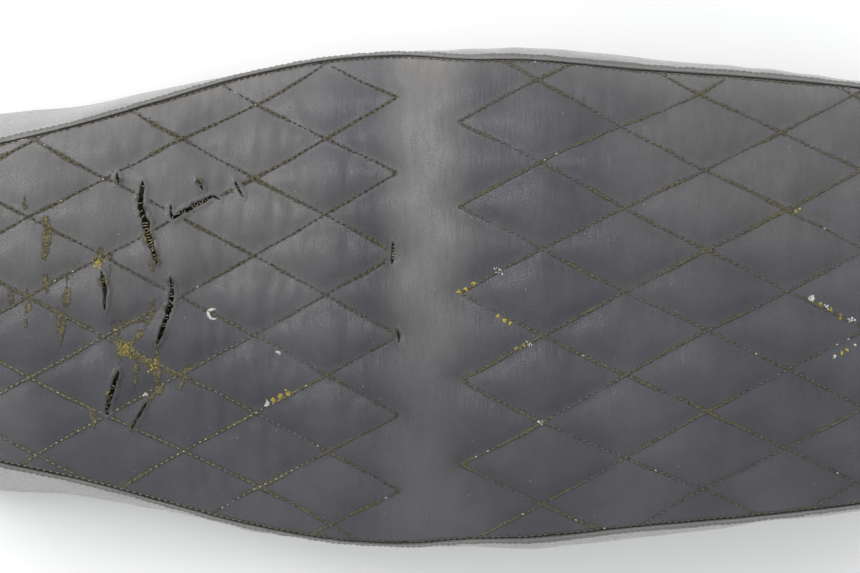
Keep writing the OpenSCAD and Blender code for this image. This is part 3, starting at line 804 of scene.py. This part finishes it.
def moss_fields(x, y, edge, near_line, past, to_tip):
    """How much moss grows at each point, and how bright it is.

    It follows the stitched lines, the rim, the cracks and the edges of the tears.
    """
    front = smooth(*MOSSY_FRONT, x)
    line = np.where(past > 0, to_tip, near_line)
    width = (1.0 + 0.2 * front) * LINE_MOSS_WIDTH * (1 + 0.35 * lattice_noise(x, y, 11 * MM, 21))
    amount = bell(line, width) * (0.70 + 0.34 * lattice_noise(x, y, 18 * MM, 22))
    rim = bell(edge - 1.5 * MM, MM)
    amount = np.maximum(amount, (0.45 + 0.35 * lattice_noise(x, y, 22 * MM, 25)) * rim)
    amount += 0.16 * front * smooth(0.25, 0.8, lattice_noise(x, y, 8 * MM, 23))
    crack = slit_gap(x, y, CRACKS)
    ragged = 1.2 * lattice_noise(x, y, 4 * MM, 26) + 0.7 * lattice_noise(x, y, 2 * MM, 29)
    grown = 0.72 * smooth(-1.7 * MM, 0.7 * MM, crack + ragged * MM)
    beside = bell(np.minimum(tear_gap(x, y), 0), 1.5 * MM)
    beside *= 0.15 + 0.6 * lattice_noise(x, y, 6 * MM, 27)
    amount = np.maximum(amount, np.maximum(grown, beside))
    bright = grown * (0.75 + 0.45 * lattice_noise(x, y, 3 * MM, 28))
    for px, py, spread, _ in YELLOW_LICHEN:
        r = np.hypot(x - px * MM, y - py * MM)
        bright = np.maximum(bright, bell(r, 2.2 * spread * MM))
    return np.clip(amount, 0, 1.2), 0.85 * bright


def dust_and_light_fields(x, y, edge, past):
    """Dust and painted light, thickest on the plain band and the right-hand half, and fine creases.

    Where it rises towards the right-hand side it is painted light. It also lies in the rider's zone,
    on the nose's left corner, and by the right-hand seam as a painted highlight.
    """
    # Painted light: across, and with it the band, rider and rear terms, lighten the film towards the
    # right-hand side, where the light falls
    across = smooth(-75 * MM, 45 * MM, y)
    band = smooth(-14 * MM, 10 * MM, past) * (0.15 + 0.85 * across)
    rider = smooth(-10 * MM, -90 * MM, x) * smooth(-35 * MM, 40 * MM, y)
    rear = smooth(80 * MM, 150 * MM, x) * smooth(-10 * MM, 60 * MM, y)
    # Painted highlight along the right-hand seam, where the top turns towards the light
    seam_highlight = bell(edge, 13 * MM) * smooth(0, 40 * MM, y)
    nose_side = smooth(-185 * MM, -235 * MM, x) * smooth(-20 * MM, -60 * MM, y)
    dust = 0.02 + 0.02 * across + 0.80 * band + 0.54 * rider + 0.33 * rear + 0.36 * seam_highlight
    dust += 0.30 * nose_side
    dust += 0.10 * smooth(0.1, 0.7, lattice_noise(x, y, 25 * MM, 24)) * (0.3 + 0.7 * across)
    crease = 0.30 + 0.25 * np.maximum(band, smooth(90 * MM, 30 * MM, np.abs(x - 20 * MM)))
    return dust, crease


def top_panel(material):
    surface, x, y, edge, near_line, past, to_tip, gap = build_top()
    near = gap > -HOLE_MARGIN
    open_face = near[:-1, :-1] | near[1:, :-1] | near[:-1, 1:] | near[1:, 1:]
    faces = grid_faces(TOP_ROWS, TOP_COLUMNS, ~open_face)
    moss, bright = moss_fields(x, y, edge, near_line, past, to_tip)
    dust, crease = dust_and_light_fields(x, y, edge, past)
    # Painted shade in the groove along the seam
    torn = 0.7 * bell(edge, 0.45 * MM)
    fields = [moss, bright, dust, crease, torn]
    points, faces, *fields = drop_loose(surface.points.reshape(-1, 3), faces, *fields)
    piece = new_piece("quilted_top_panel", points, faces, material)
    paint(piece, **dict(zip(VINYL_FIELDS, fields)))
    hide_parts("top_panel")
    deep = gap > 0.6 * MM
    return surface, deep[:-1, :-1] | deep[1:, 1:]


# Cross-section of a torn edge: (distance outside the tear, height), millimetres
LIP = [(-0.3, -3.0), (-0.1, -1.5), (0, -0.35), (0.35, 0.5), (1.0, 0.6), (1.8, 0.35),
       (2.7, 0.12), (3.4, -0.2)]


def tear_lips(surface, material):
    """Crisp curled edges round every tear, over the ragged holes in the grid."""
    points, faces, fields = [], [], []
    for route, half in TEARS:
        corners = np.array(route, float)
        run = distances(corners)
        s = np.linspace(0, run[-1], max(12, int(run[-1] / 0.5)))
        centre = blur_line(places(s, run, corners), 3)
        tangent = np.gradient(centre, axis=0)
        tangent /= np.linalg.norm(tangent, axis=1, keepdims=True)
        normal = np.column_stack([-tangent[:, 1], tangent[:, 0]])
        width = half * np.sqrt(np.sin(math.pi * s / s[-1]).clip(0, 1))
        tip = smooth(1.6, 0, s[-1] - s) - smooth(1.6, 0, s)
        edges = []
        for side in (1, -1):
            rag = 0.40 * lattice_noise(centre[:, 0], centre[:, 1], 1.3, 35 + side)
            rag = rag + 0.35 * lattice_noise(centre[:, 0], centre[:, 1], 3.1, 45 + side)
            edge = centre + side * normal * (width * (1 + rag))[:, None]
            out = side * normal * (1 - np.abs(tip))[:, None] + tangent * tip[:, None]
            edges.append((edge, out / np.linalg.norm(out, axis=1, keepdims=True)))
        loop = np.concatenate([edges[0][0], edges[1][0][::-1]])
        out = np.concatenate([edges[0][1], edges[1][1][::-1]])
        first = sum(len(p) for p in points)
        count = len(loop)
        for offset, lift in LIP:
            spot = (loop + out * offset) * MM
            place, up = on_top(surface, *spot.T)
            _, past, _ = line_distances(*spot.T)
            edge = seam_y(spot[:, 0]) - np.abs(spot[:, 1])
            curl = 1 + 0.5 * lattice_noise(loop[:, 0], loop[:, 1], 3, 38) * (lift > 0)
            points.append(place + up * (lift * curl * MM)[:, None])
            # Painted shade: the lip darkens where it turns down into the tear
            field = np.tile([0.0, 0.3, 0, 0, min(1, max(0, -lift / 0.9))], (count, 1))
            field[:, 2], field[:, 3] = dust_and_light_fields(spot[:, 0], spot[:, 1], edge, past)
            patchy = lattice_noise(loop[:, 0], loop[:, 1], 5, 39) + 0.2 * half
            field[:, 0] = 0.8 * patchy * math.exp(-((offset - 0.9) / 1.2) ** 2)
            fields.append(field)
        ring = np.arange(count)
        for r in range(len(LIP) - 1):
            a = first + r * count + ring
            b = first + r * count + (ring + 1) % count
            faces.append(np.stack([a, b, b + count, a + count], 1))
    piece = new_piece("torn_vinyl_edges", np.concatenate(points), np.concatenate(faces),
                      material)
    columns = np.concatenate(fields).T
    paint(piece, **dict(zip(VINYL_FIELDS, columns)))


def blur_line(points, times):
    """Softens a polyline and leaves its two ends in place."""
    for _ in range(times):
        points = np.vstack([
            points[:1], (points[:-2] + 2 * points[1:-1] + points[2:]) / 4, points[-1:]
        ])
    return points


def wadding_layer(surface, holes, material, node):
    """The thin layer under the quilted panel, open where the tears are deep."""
    points = surface.points - surface.normals * WADDING_DEPTH
    faces = grid_faces(TOP_ROWS, TOP_COLUMNS, ~holes)
    points, faces = drop_loose(points.reshape(-1, 3), faces)
    piece = new_piece("quilt_wadding_layer", points, faces, material)
    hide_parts(node)


SIDE_ROWS = 470
SIDE_LEVELS = 44
# Where the side panel comes out of the seam: (inset, height), millimetres
SEAM_LIP = [(1.2, -3.9), (0.6, -2.9), (0.1, -2.0)]
LIP_LENGTH = 2.2 * MM
# The welt stands out this far, and fades over this share of the way down
WELT = 0.7 * MM
WELT_REACH = 0.11
SEAM_DROP = 1.7 * MM
LEVEL_CROWD = 1.35
# Under the rim: shares of the way to the hem, radius of the turn, hem insets in millimetres
RIM_DROPS = (0.3, 0.6, 0.85)
HEM_TURN = 2 * MM
HEM_INSETS = (4, 7, 10.5, 14)
# Half of the gap between the two side panels at the centre seams
CENTRE_GAP = 0.1 * MM
SIDE_STITCH = LIP_LENGTH + 5.2 * MM
side_a = stations(SIDE_ROWS)


def side_plan(t):
    """Plan outline and its outward normal at level t from seam to base."""
    xs = seam_x(side_a)
    xb = mix(NOSE_X, TAIL_X, side_a)
    x = mix(xs, xb, t)
    y = mix(seam_y(xs), base_y(xb), t)
    dx, dy = np.gradient(x), np.gradient(y)
    dx[0] = dx[-1] = 0
    size = np.maximum(np.hypot(dx, dy), 1e-12)
    normal = np.stack([-dy / size, dx / size], -1)
    normal[0], normal[-1] = (-1, 0), (1, 0)
    swell = MM * curve(SIDE_BULGE, share(xb)) * math.sin(math.pi * t**BULGE_POWER)
    return np.stack([x, y], -1) + normal * swell[:, None], normal


def side_surface():
    """The right-hand side panel: out of the seam, down, round and under the rim."""
    columns = []

    def level(spot, z):
        columns.append(np.column_stack([spot, np.broadcast_to(z, SIDE_ROWS)]))

    seam_height = seam_z(seam_x(side_a))
    plan, normal = side_plan(0)
    for inset, drop in SEAM_LIP:
        level(plan - normal * inset * MM, seam_height + drop * MM)
    for k in range(SIDE_LEVELS + 1):
        t = (k / SIDE_LEVELS) ** LEVEL_CROWD
        plan, normal = side_plan(t)
        ease = WELT * math.exp(-(t / WELT_REACH) ** 2)
        level(plan + normal * ease, mix(seam_height - SEAM_DROP, RIM_Z, t))
    for drop in RIM_DROPS:
        level(plan, mix(RIM_Z, HEM_Z, drop))
    for angle in (20, 50, 80):
        a = math.radians(angle)
        level(plan - normal * HEM_TURN * (1 - math.cos(a)), HEM_Z + HEM_TURN * (1 - math.sin(a)))
    for inset in HEM_INSETS:
        level(plan - normal * inset * MM, HEM_Z)
    points = np.stack(columns, 1)
    points[:, :, 1] = np.maximum(points[:, :, 1], CENTRE_GAP)
    return points


# Relief of the side: depths of dents, small dents, puckers, stitched valley, roll, centre seam
DENT_DEPTH = 0.9 * MM
SMALL_DENT = PUCKER_BY_SEAM = 0.35 * MM
VALLEY_DEPTH = ROLL_HEIGHT = 0.5 * MM
CENTRE_SEAM_DEPTH = 1.4 * MM


def side_relief(points, seed):
    """Outward relief of the side: puckers by the seam, the stitched valley, dents."""
    step = np.linalg.norm(np.diff(points, axis=1), axis=2)
    down = np.concatenate([np.zeros((SIDE_ROWS, 1)), np.cumsum(step, 1)], 1)
    along = distances(points[:, 8])
    run = np.repeat(along[:, None], points.shape[1], 1)
    free = smooth(6 * MM, 14 * MM, down) * smooth(12 * MM, 20 * MM, points[..., 2])
    relief = DENT_DEPTH * lattice_noise(run, down, 42 * MM, seed) * free
    relief += SMALL_DENT * lattice_noise(run, down * 0.6, 13 * MM, seed + 1) * free
    fade = bell(down - 9 * MM, 9 * MM)
    relief += PUCKER_BY_SEAM * lattice_noise(run, down * 0.15, 6 * MM, seed + 2) * fade
    valley = bell(down - SIDE_STITCH, 1.1 * MM)
    relief -= VALLEY_DEPTH * valley
    roll = bell(down - LIP_LENGTH - 2.4 * MM, 1.7 * MM)
    relief += ROLL_HEIGHT * roll
    centre_seam = bell(run, 2 * MM) + bell(along[-1] - run, 2 * MM)
    relief -= CENTRE_SEAM_DEPTH * centre_seam * smooth(0, 4 * MM, down)
    return relief, down, run


def side_panel(name, mirror, node, material, seed):
    """One side panel, mirrored for the left; gives its surface and distances down it."""
    points = side_surface()
    relief, down, run = side_relief(points, seed)
    outward = -grid_normals(points)
    outward[0], outward[-1] = outward[1], outward[-2]
    points = points + outward * relief[..., None]
    points[:, :, 1] = np.maximum(points[:, :, 1], CENTRE_GAP)
    points[:, :, 1] *= mirror
    rows, columns = points.shape[:2]
    faces = grid_faces(rows, columns)
    if mirror > 0:
        faces = faces[:, ::-1]
    x, z = points[..., 0], points[..., 2]
    # Grime on the welt ends in a frayed line, moss hangs from the seam and rises from the hem
    front = smooth(0.02, -0.2, x)
    fray = down + 1.1 * MM * lattice_noise(run, down, 4 * MM, seed + 7)
    welt = smooth(1 * MM, 2 * MM, down) * smooth(SIDE_STITCH + 2.8 * MM, SIDE_STITCH + 0.4 * MM, fray)
    grow = bell(down, 4.5 * MM) * (0.2 + 0.4 * front)
    grow *= 0.6 + 0.6 * lattice_noise(run, down, 15 * MM, seed + 4)
    grow += 0.16 * welt * smooth(0, 0.8, lattice_noise(run, down, 3 * MM, seed + 6))
    low = bell(z - HEM_Z, 9 * MM) * 0.45
    piece = new_piece(name, points.reshape(-1, 3), faces, material)
    dust = 0.25 + 0.35 * smooth(0.05, 0.02, z)
    # Painted shade in the groove by the seam and in the stitched valley; the darkened welt is grime
    groove = bell(down - LIP_LENGTH, 0.6 * MM)
    valley = bell(down - SIDE_STITCH, 0.5 * MM)
    paint(
        piece, moss=grow + low * smooth(0, 1, lattice_noise(run, down, 30 * MM, seed + 5)),
        bright_moss=0.5 * front * (mirror < 0) * bell(down, 6 * MM),
        dust=dust, crease=0.25 * np.ones_like(x),
        torn=np.maximum(np.maximum(0.65 * groove, 0.15 * valley), 0.36 * welt),
    )
    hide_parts(node)
    return Surface(points), down


def foam_cushion(surface, material):
    """The cushion under the quilt, closed round its sides and its flat floor."""
    step = 3
    rows = np.unique(np.append(np.arange(0, TOP_ROWS, step), TOP_ROWS - 1))
    columns = np.arange(0, TOP_COLUMNS, step)
    top = (surface.points - surface.normals * FOAM_DEPTH)[np.ix_(rows, columns)]
    floor = RIM_Z - 0.6 * MM
    inset = 3 * MM
    rings = []
    for k, x0 in enumerate(top_x[rows]):
        half = max(base_y(np.array([x0]))[0] - inset, 0.0)
        low = seam_z(np.array([x0]))[0]
        edge = max(top_half[rows[k]] - inset, 0)
        down = [(mix(edge, half, t), mix(low - FOAM_DEPTH, floor, t)) for t in (0.35, 0.7, 1)]
        right = [(x0, y, z) for y, z in down]
        left = [(x0, -y, z) for y, z in reversed(down)]
        across = top[k].copy()
        across[:, 1] = np.clip(across[:, 1], -edge, edge)
        rings.append(np.concatenate([left, across, right]))
    points = np.array(rings)
    count = points.shape[1]
    faces = grid_faces(len(rows), count)
    index = np.arange(len(rows)) * count
    bottom = np.stack([index[:-1] + count - 1, index[1:] + count - 1, index[1:], index[:-1]], 1)
    faces = np.concatenate([faces, bottom])
    piece = new_piece("foam_cushion", points.reshape(-1, 3), faces, material)
    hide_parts("seat_foam")


# --------------------------------------------------------------------- threads


# Share of stitches that are missing, their rise, and how much a pale one is cut at each end
STITCH_GAPS = 0.03
STITCH_RISE = 0.4 * MM
PALE_CUT = 0.22
SIDE_THREAD_R = 0.26 * MM
SCRIM_R = 0.21 * MM
SCRIM_PITCH = 1.5 * MM
SCRIM_GAPS = 0.4


def quilt_routes():
    """Plan routes of every quilting line, each a list of closely spaced points."""
    routes = []
    for zone in ("rider", "passenger"):
        rider = zone == "rider"
        tip = RIDER_TIP_X if rider else PASSENGER_TIP_X
        far = seam_x(0.0) if rider else seam_x(1.0)
        x = np.linspace(tip, far, 900)
        length = RIDER_DIAMOND[0] if rider else PASSENGER_LENGTH
        width = np.full_like(x, RIDER_DIAMOND[1]) if rider else passenger_width(x)
        centre = RIDER_CENTRE_Y if rider else PASSENGER_CENTRE_Y
        p = (x - tip) / length
        for m in range(-12, 13):
            for sign in (1, -1):
                q = sign * (m - p) - (0.5 if rider else 0)
                y = centre + q * width
                y = y - wander(x, y)
                inside = np.abs(y) < seam_y(x) - 3 * MM
                for start, stop in runs(inside):
                    if stop - start > 8:
                        routes.append((x[start:stop], y[start:stop]))
    return routes


def runs(flags):
    """Start and stop of each stretch of true flags."""
    change = np.flatnonzero(np.diff(np.concatenate([[0], flags.astype(int), [0]])))
    return list(zip(change[::2], change[1::2]))


def on_top(surface, x, y):
    """Places and normals on the top panel over points of the plan."""
    row = np.interp(x, top_x, np.arange(TOP_ROWS))
    v = y / np.maximum(seam_y(x), 1e-6)
    return surface.at(row, np.interp(v, column_v, np.arange(TOP_COLUMNS)))


def distances(points):
    """How far along a polyline each of its points is."""
    return np.concatenate([[0], np.cumsum(np.linalg.norm(np.diff(points, axis=0), axis=1))])


def places(s, run, points):
    """Points of a polyline at distances s along it."""
    return np.column_stack([np.interp(s, run, column) for column in points.T])


def spaced(points, pitch):
    """Distances along a polyline, and those of its stitch starts."""
    run = distances(points)
    return run, np.arange(0.3 * pitch, run[-1] - pitch, pitch)


def quilting(surface, material):
    """Stitches along every quilting line and both seams, with gaps at the tears."""
    a, b, n, pale = [], [], [], []
    seam = np.linspace(seam_x(0.004), seam_x(0.996), 1500)
    rows = [(seam, side * (seam_y(seam) - SEAM_ROW_INSET)) for side in (1, -1)]
    for x, y in quilt_routes() + rows:
        run, starts = spaced(np.column_stack([x, y]), STITCH_PITCH)
        spots = []
        for offset in (0, STITCH_LENGTH):
            sx = np.interp(starts + offset, run, x)
            sy = np.interp(starts + offset, run, y)
            keep = tear_gap(sx, sy) < -0.4 * MM
            spots.append((*on_top(surface, sx, sy), keep))
        keep = spots[0][2] & spots[1][2]
        keep &= RNG.random(len(keep)) > STITCH_GAPS
        a.append(spots[0][0][keep])
        b.append(spots[1][0][keep])
        n.append(spots[0][1][keep])
        bare = (y[-1] - y[0]) * (x[-1] - x[0]) > 0 and len(x) < 900
        left = bare * (a[-1][:, 0] < PALE_CORNER[0]) * (a[-1][:, 1] < PALE_CORNER[1])
        corner = smooth(0.02, -0.14, a[-1][:, 0]) * smooth(0.03, -0.03, a[-1][:, 1])
        tone = np.maximum(0.35 * corner, 0.15 * (a[-1][:, 0] > 0))
        tone = np.maximum(tone, RNG.random(len(left)) > 0.985)
        pale.append(np.where(left, RNG.uniform(0.35, 1, len(left)) ** 1.5, tone))
    a, b, n, pale = (np.concatenate(part) for part in (a, b, n, pale))
    shorter = (PALE_CUT * (pale > 0.35))[:, None] * (b - a)
    points, faces = threads(a + shorter, b - shorter, n, THREAD_R, STITCH_RISE)
    piece = new_piece("quilting_thread", points, faces, material)
    paint(piece, pale=np.repeat(pale, len(points) // len(pale)))


def side_stitching(name, surface, down, material):
    """The row of top stitching along a side panel's seam edge."""
    column = np.array([np.interp(SIDE_STITCH, row, np.arange(len(row))) for row in down])
    line, normals = surface.at(np.arange(SIDE_ROWS, dtype=float), column)
    if line[SIDE_ROWS // 2, 1] > 0:
        normals = -normals
    normals = normals * np.sign(normals[SIDE_ROWS // 2, 2] or 1)
    run, starts = spaced(line, STITCH_PITCH)
    ends = [places(starts + offset, run, line) for offset in (0, STITCH_LENGTH)]
    n = places(starts, run, normals)
    n /= np.linalg.norm(n, axis=1, keepdims=True)
    points, faces = threads(*ends, n, SIDE_THREAD_R, 0.10 * MM)
    new_piece(name, points, faces, material)


def torn_threads(surface, material):
    """Loose scrim threads across and along the tears."""
    a, b, n = [], [], []
    for route, half in TEARS:
        points = np.array(route, float) * MM
        run = distances(points)
        for s in np.arange(1.2 * MM, run[-1] - 1 * MM, SCRIM_PITCH):
            if RNG.random() < SCRIM_GAPS:
                continue
            x = np.interp(s, run, points[:, 0])
            y = np.interp(s, run, points[:, 1])
            tangent = np.array([np.interp(s + MM, run, points[:, 0]) - x,
                                np.interp(s + MM, run, points[:, 1]) - y])
            size = np.hypot(*tangent)
            if size < 1e-9:
                continue
            across = np.array([-tangent[1], tangent[0]]) / size
            slant = RNG.uniform(-0.9, 0.9)
            reach = (half + 0.8) * MM
            d = (across + slant * tangent / size) * reach
            spot = np.array([[x, y] - d, [x, y] + d * RNG.uniform(0.1, 1)])
            place, normal = on_top(surface, *spot.T)
            sunk = place - normal * np.array([[0.9 * MM], [RNG.uniform(0.6, 2.0) * MM]])
            a.append(sunk[0])
            b.append(sunk[1])
            n.append(normal[0])
    points, faces = threads(np.array(a), np.array(b), np.array(n), SCRIM_R, 0.1 * MM, 5)
    new_piece("torn_scrim_threads", points, faces, material)


# ---------------------------------------------------------------------- growth


def strew(name, surface, x, y, radii, flatness, seed, material):
    """A piece made of crumbs lying on the top panel at points of the plan."""
    place, normal = on_top(surface, x, y)
    points, faces = clumps(place, normal, radii, flatness, seed)
    new_piece(name, points, faces, material)


def moss_crumbs(surface, material):
    """Crumbs of moss along the quilting, thickest in the rider's zone."""
    xs, ys, rs = [], [], []
    for x, y in quilt_routes():
        run, starts = spaced(np.column_stack([x, y]), 0.9 * MM)
        starts = starts + RNG.uniform(-0.4, 0.4, len(starts)) * MM
        sx, sy = np.interp(starts, run, x), np.interp(starts, run, y)
        thick = 0.05 + 0.40 * smooth(-0.03, -0.19, sx)
        thick *= 0.5 + smooth(-0.4, 0.6, lattice_noise(sx, sy, 16 * MM, 22)) * 1.1
        keep = RNG.random(len(sx)) < thick
        spread = np.where(sx < 0, 1.1, 0.6) * MM
        xs.append((sx + RNG.normal(0, 1, len(sx)) * spread)[keep])
        ys.append((sy + RNG.normal(0, 1, len(sx)) * spread)[keep])
        rs.append(RNG.uniform(0.2, 0.55, keep.sum()) * MM)
    for route, half in CRACKS:
        points = np.array(route, float) * MM
        run = distances(points)
        s = RNG.uniform(0, run[-1], int(run[-1] / MM * half * 1.3))
        drift = half * 0.5 * MM
        xs.append(np.interp(s, run, points[:, 0]) + RNG.normal(0, 1, len(s)) * drift)
        ys.append(np.interp(s, run, points[:, 1]) + RNG.normal(0, 1, len(s)) * drift)
        rs.append(RNG.uniform(0.2, 0.6, len(s)) * MM)
    x, y, r = (np.concatenate(part) for part in (xs, ys, rs))
    inside = (np.abs(y) < seam_y(x) - 2 * MM) & (tear_gap(x, y) < 0)
    x, y, r = x[inside], y[inside], r[inside]
    strew("moss_crumbs", surface, x, y, r, 0.6, 41, material)


def lichen(name, surface, patches, material, seed, low, high, flat):
    """Crusts in patches of the plan, with radii between low and high millimetres."""
    rng = np.random.default_rng(seed)
    xs, ys = [], []
    for px, py, spread, count in patches:
        xs.append(rng.normal(px, spread * 0.4, count) * MM)
        ys.append(rng.normal(py, spread * 0.4, count) * MM)
    x, y = np.concatenate(xs), np.concatenate(ys)
    r = rng.uniform(low, high, len(x)) * MM
    strew(name, surface, x, y, r, flat, seed + 1, material)


def flake(surface, material):
    """A pale crescent-shaped flake stuck to the rider's zone."""
    turn = np.radians(np.linspace(65, 300, 19))
    bend = FLAKE_R * (1 + 0.06 * np.sin(3 * turn))
    x = FLAKE_PLACE[0] + bend * np.cos(turn)
    y = FLAKE_PLACE[1] + bend * np.sin(turn)
    r = FLAKE_THICKNESS * np.sin(np.linspace(0.3, math.pi - 0.3, len(turn)))
    strew("pale_flake", surface, x, y, r, 0.4, 91, material)


# ----------------------------------------------------------------------- stage


TABLE_REACH = 6.0
# The photograph's camera: height over the table, focal length as a share of the frame's
# width, the place it looks down at, and its small turn
CAMERA_HEIGHT = 0.80
FOCAL_SHARE = 1.5127907
CAMERA_PLACE = (13 * MM, 7 * MM)
CAMERA_TURN = math.radians(-0.5)


def stage_and_camera():
    """The pale table, a pale sky with one large soft light, and the camera above."""
    g = Graph("table_top")
    marks = g.noise(240 * MM, 4)
    color = g.mixed(g.ramp(marks, 0.35, 0.7), (0.895, 0.89, 0.88), (0.93, 0.925, 0.915))
    table = g.finish(color, 0.6)
    mesh = bpy.data.meshes.new("table")
    corners = [(-1, -1), (1, -1), (1, 1), (-1, 1)]
    mesh.from_pydata([(x * TABLE_REACH, y * TABLE_REACH, 0) for x, y in corners], [], [(0, 1, 2, 3)])
    mesh.materials.append(table)
    floor = bpy.data.objects.new("table", mesh)
    bpy.context.scene.collection.objects.link(floor)

    scene = bpy.context.scene
    scene.view_settings.view_transform = "Standard"
    world = bpy.data.worlds.new("studio")
    world.use_nodes = True
    background = world.node_tree.nodes["Background"]
    background.inputs["Color"].default_value = (0.96, 0.98, 1, 1)
    background.inputs["Strength"].default_value = 0.90
    scene.world = world
    soft_light("window", (-1.2, 1.25, 1.6), (0, 0, 0.05), 1.5, 34)

    camera_data = bpy.data.cameras.new("camera")
    camera_data.sensor_width = 36
    camera_data.lens = camera_data.sensor_width * FOCAL_SHARE
    camera = bpy.data.objects.new("camera", camera_data)
    scene.collection.objects.link(camera)
    camera.location = (*CAMERA_PLACE, CAMERA_HEIGHT)
    camera.rotation_euler = (0, 0, CAMERA_TURN)
    scene.camera = camera


def soft_light(name, place, target, size, power):
    """A square area light aimed at a target."""
    data = bpy.data.lights.new(name, "AREA")
    data.shape = "SQUARE"
    data.size = size
    data.energy = power
    light = bpy.data.objects.new(name, data)
    bpy.context.scene.collection.objects.link(light)
    light.location = place
    aim = np.array(target) - np.array(place)
    x, y, z = aim / np.linalg.norm(aim)
    light.rotation_euler = (math.acos(-z), 0, math.atan2(-x, y))


# ---------------------------------------------------------------- the CAD nodes


def dress_cad_nodes():
    """Node materials for the CAD nodes that stay visible."""
    pan = moulded("pan_plastic", (0.020, 0.020, 0.022), 0.55, 0.9 * MM, 0.05 * MM)
    rubber = moulded("buffer_rubber", (0.016, 0.016, 0.016), 0.75, 0.6 * MM, 0.04 * MM)
    black = painted("bracket_paint", (0.022, 0.022, 0.024), 0.8)
    zinc = metal("zinc_plate", (0.50, 0.49, 0.45), 0.32, 0.5)
    rod = metal("striker_steel", (0.42, 0.42, 0.42), 0.3, 0.6)
    wire = metal("bright_wire", (0.58, 0.58, 0.57), 0.28, 0.25)
    nylon = moulded("nylon", (0.66, 0.64, 0.57), 0.45, 0.8 * MM, 0.02 * MM)
    looks = [
        (pan, "base_pan"), (black, "hinge_seat_bracket hinge_frame_bracket"), (rod, "striker_loop"),
        (wire, "hem_staples hinge_pin_clip"), (nylon, "hinge_bush_left hinge_bush_right"),
        (zinc, "front_stiffener_plate rear_stiffener_plate hinge_pin hinge_bolts hinge_washers"
               " hinge_nuts striker_upper_nuts striker_lower_nuts striker_washers"),
    ]
    by_name = {name: material for material, names in looks for name in names.split()}
    for name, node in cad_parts.items():
        material = rubber if name.startswith("buffer_") else by_name.get(name)
        if material:
            node.data.materials.clear()
            node.data.materials.append(material)


# ------------------------------------------------------------------------ build

stage_and_camera()
dress_cad_nodes()

top_vinyl = vinyl("quilted_vinyl", (0.0465, 0.0465, 0.053), (0.0685, 0.0685, 0.077), 0.40)
side_vinyl = vinyl("side_vinyl", (0.138, 0.130, 0.127), (0.190, 0.179, 0.175), 0.24, 0.8)
thread = fibre("stitch_thread", (0.018, 0.016, 0.011), (0.105, 0.094, 0.060),
               (0.46, 0.45, 0.38))
# Painted reflection: this thread is lighter than its own colour, standing in for the grazing
# reflection that the coated side vinyl shows
plain_thread = fibre("top_stitch_thread", (0.25, 0.24, 0.225), (0.42, 0.405, 0.38))
scrim = fibre("scrim_thread", (0.20, 0.165, 0.10), (0.62, 0.52, 0.37))
# Near-black wadding: partly dirt, and painted shade inside the tears
wadding = fibre("wadding_fibre", (0.006, 0.006, 0.005), (0.040, 0.036, 0.022))
moss = crusty("moss", MOSS_DARK, MOSS_OLIVE, 0.8 * MM)
white_crust = crusty("pale_lichen", (0.40, 0.39, 0.33), (0.72, 0.71, 0.66), 1.2 * MM)
yellow_crust = crusty("yellow_lichen", (0.26, 0.20, 0.035), (0.56, 0.45, 0.08), 1.0 * MM)

top_surface, tear_holes = top_panel(top_vinyl)
wadding_layer(top_surface, tear_holes, wadding, "quilt_wadding")
foam_cushion(top_surface, foam_material())
for name, mirror, node, seed in (
    ("side_panel_cover_left", -1, "side_panel_left", 51),
    ("side_panel_cover_right", 1, "side_panel_right", 61),
):
    side, side_down = side_panel(name, mirror, node, side_vinyl, seed)
    side_stitching(name.replace("cover", "stitching"), side, side_down, plain_thread)
quilting(top_surface, thread)
tear_lips(top_surface, top_vinyl)
torn_threads(top_surface, scrim)
moss_crumbs(top_surface, moss)
flake(top_surface, white_crust)
lichen("pale_lichen_spots", top_surface, WHITE_LICHEN, white_crust, 71, 0.3, 0.85, 0.45)
lichen("yellow_lichen_spots", top_surface, YELLOW_LICHEN, yellow_crust, 81, 0.25, 0.8, 0.6)
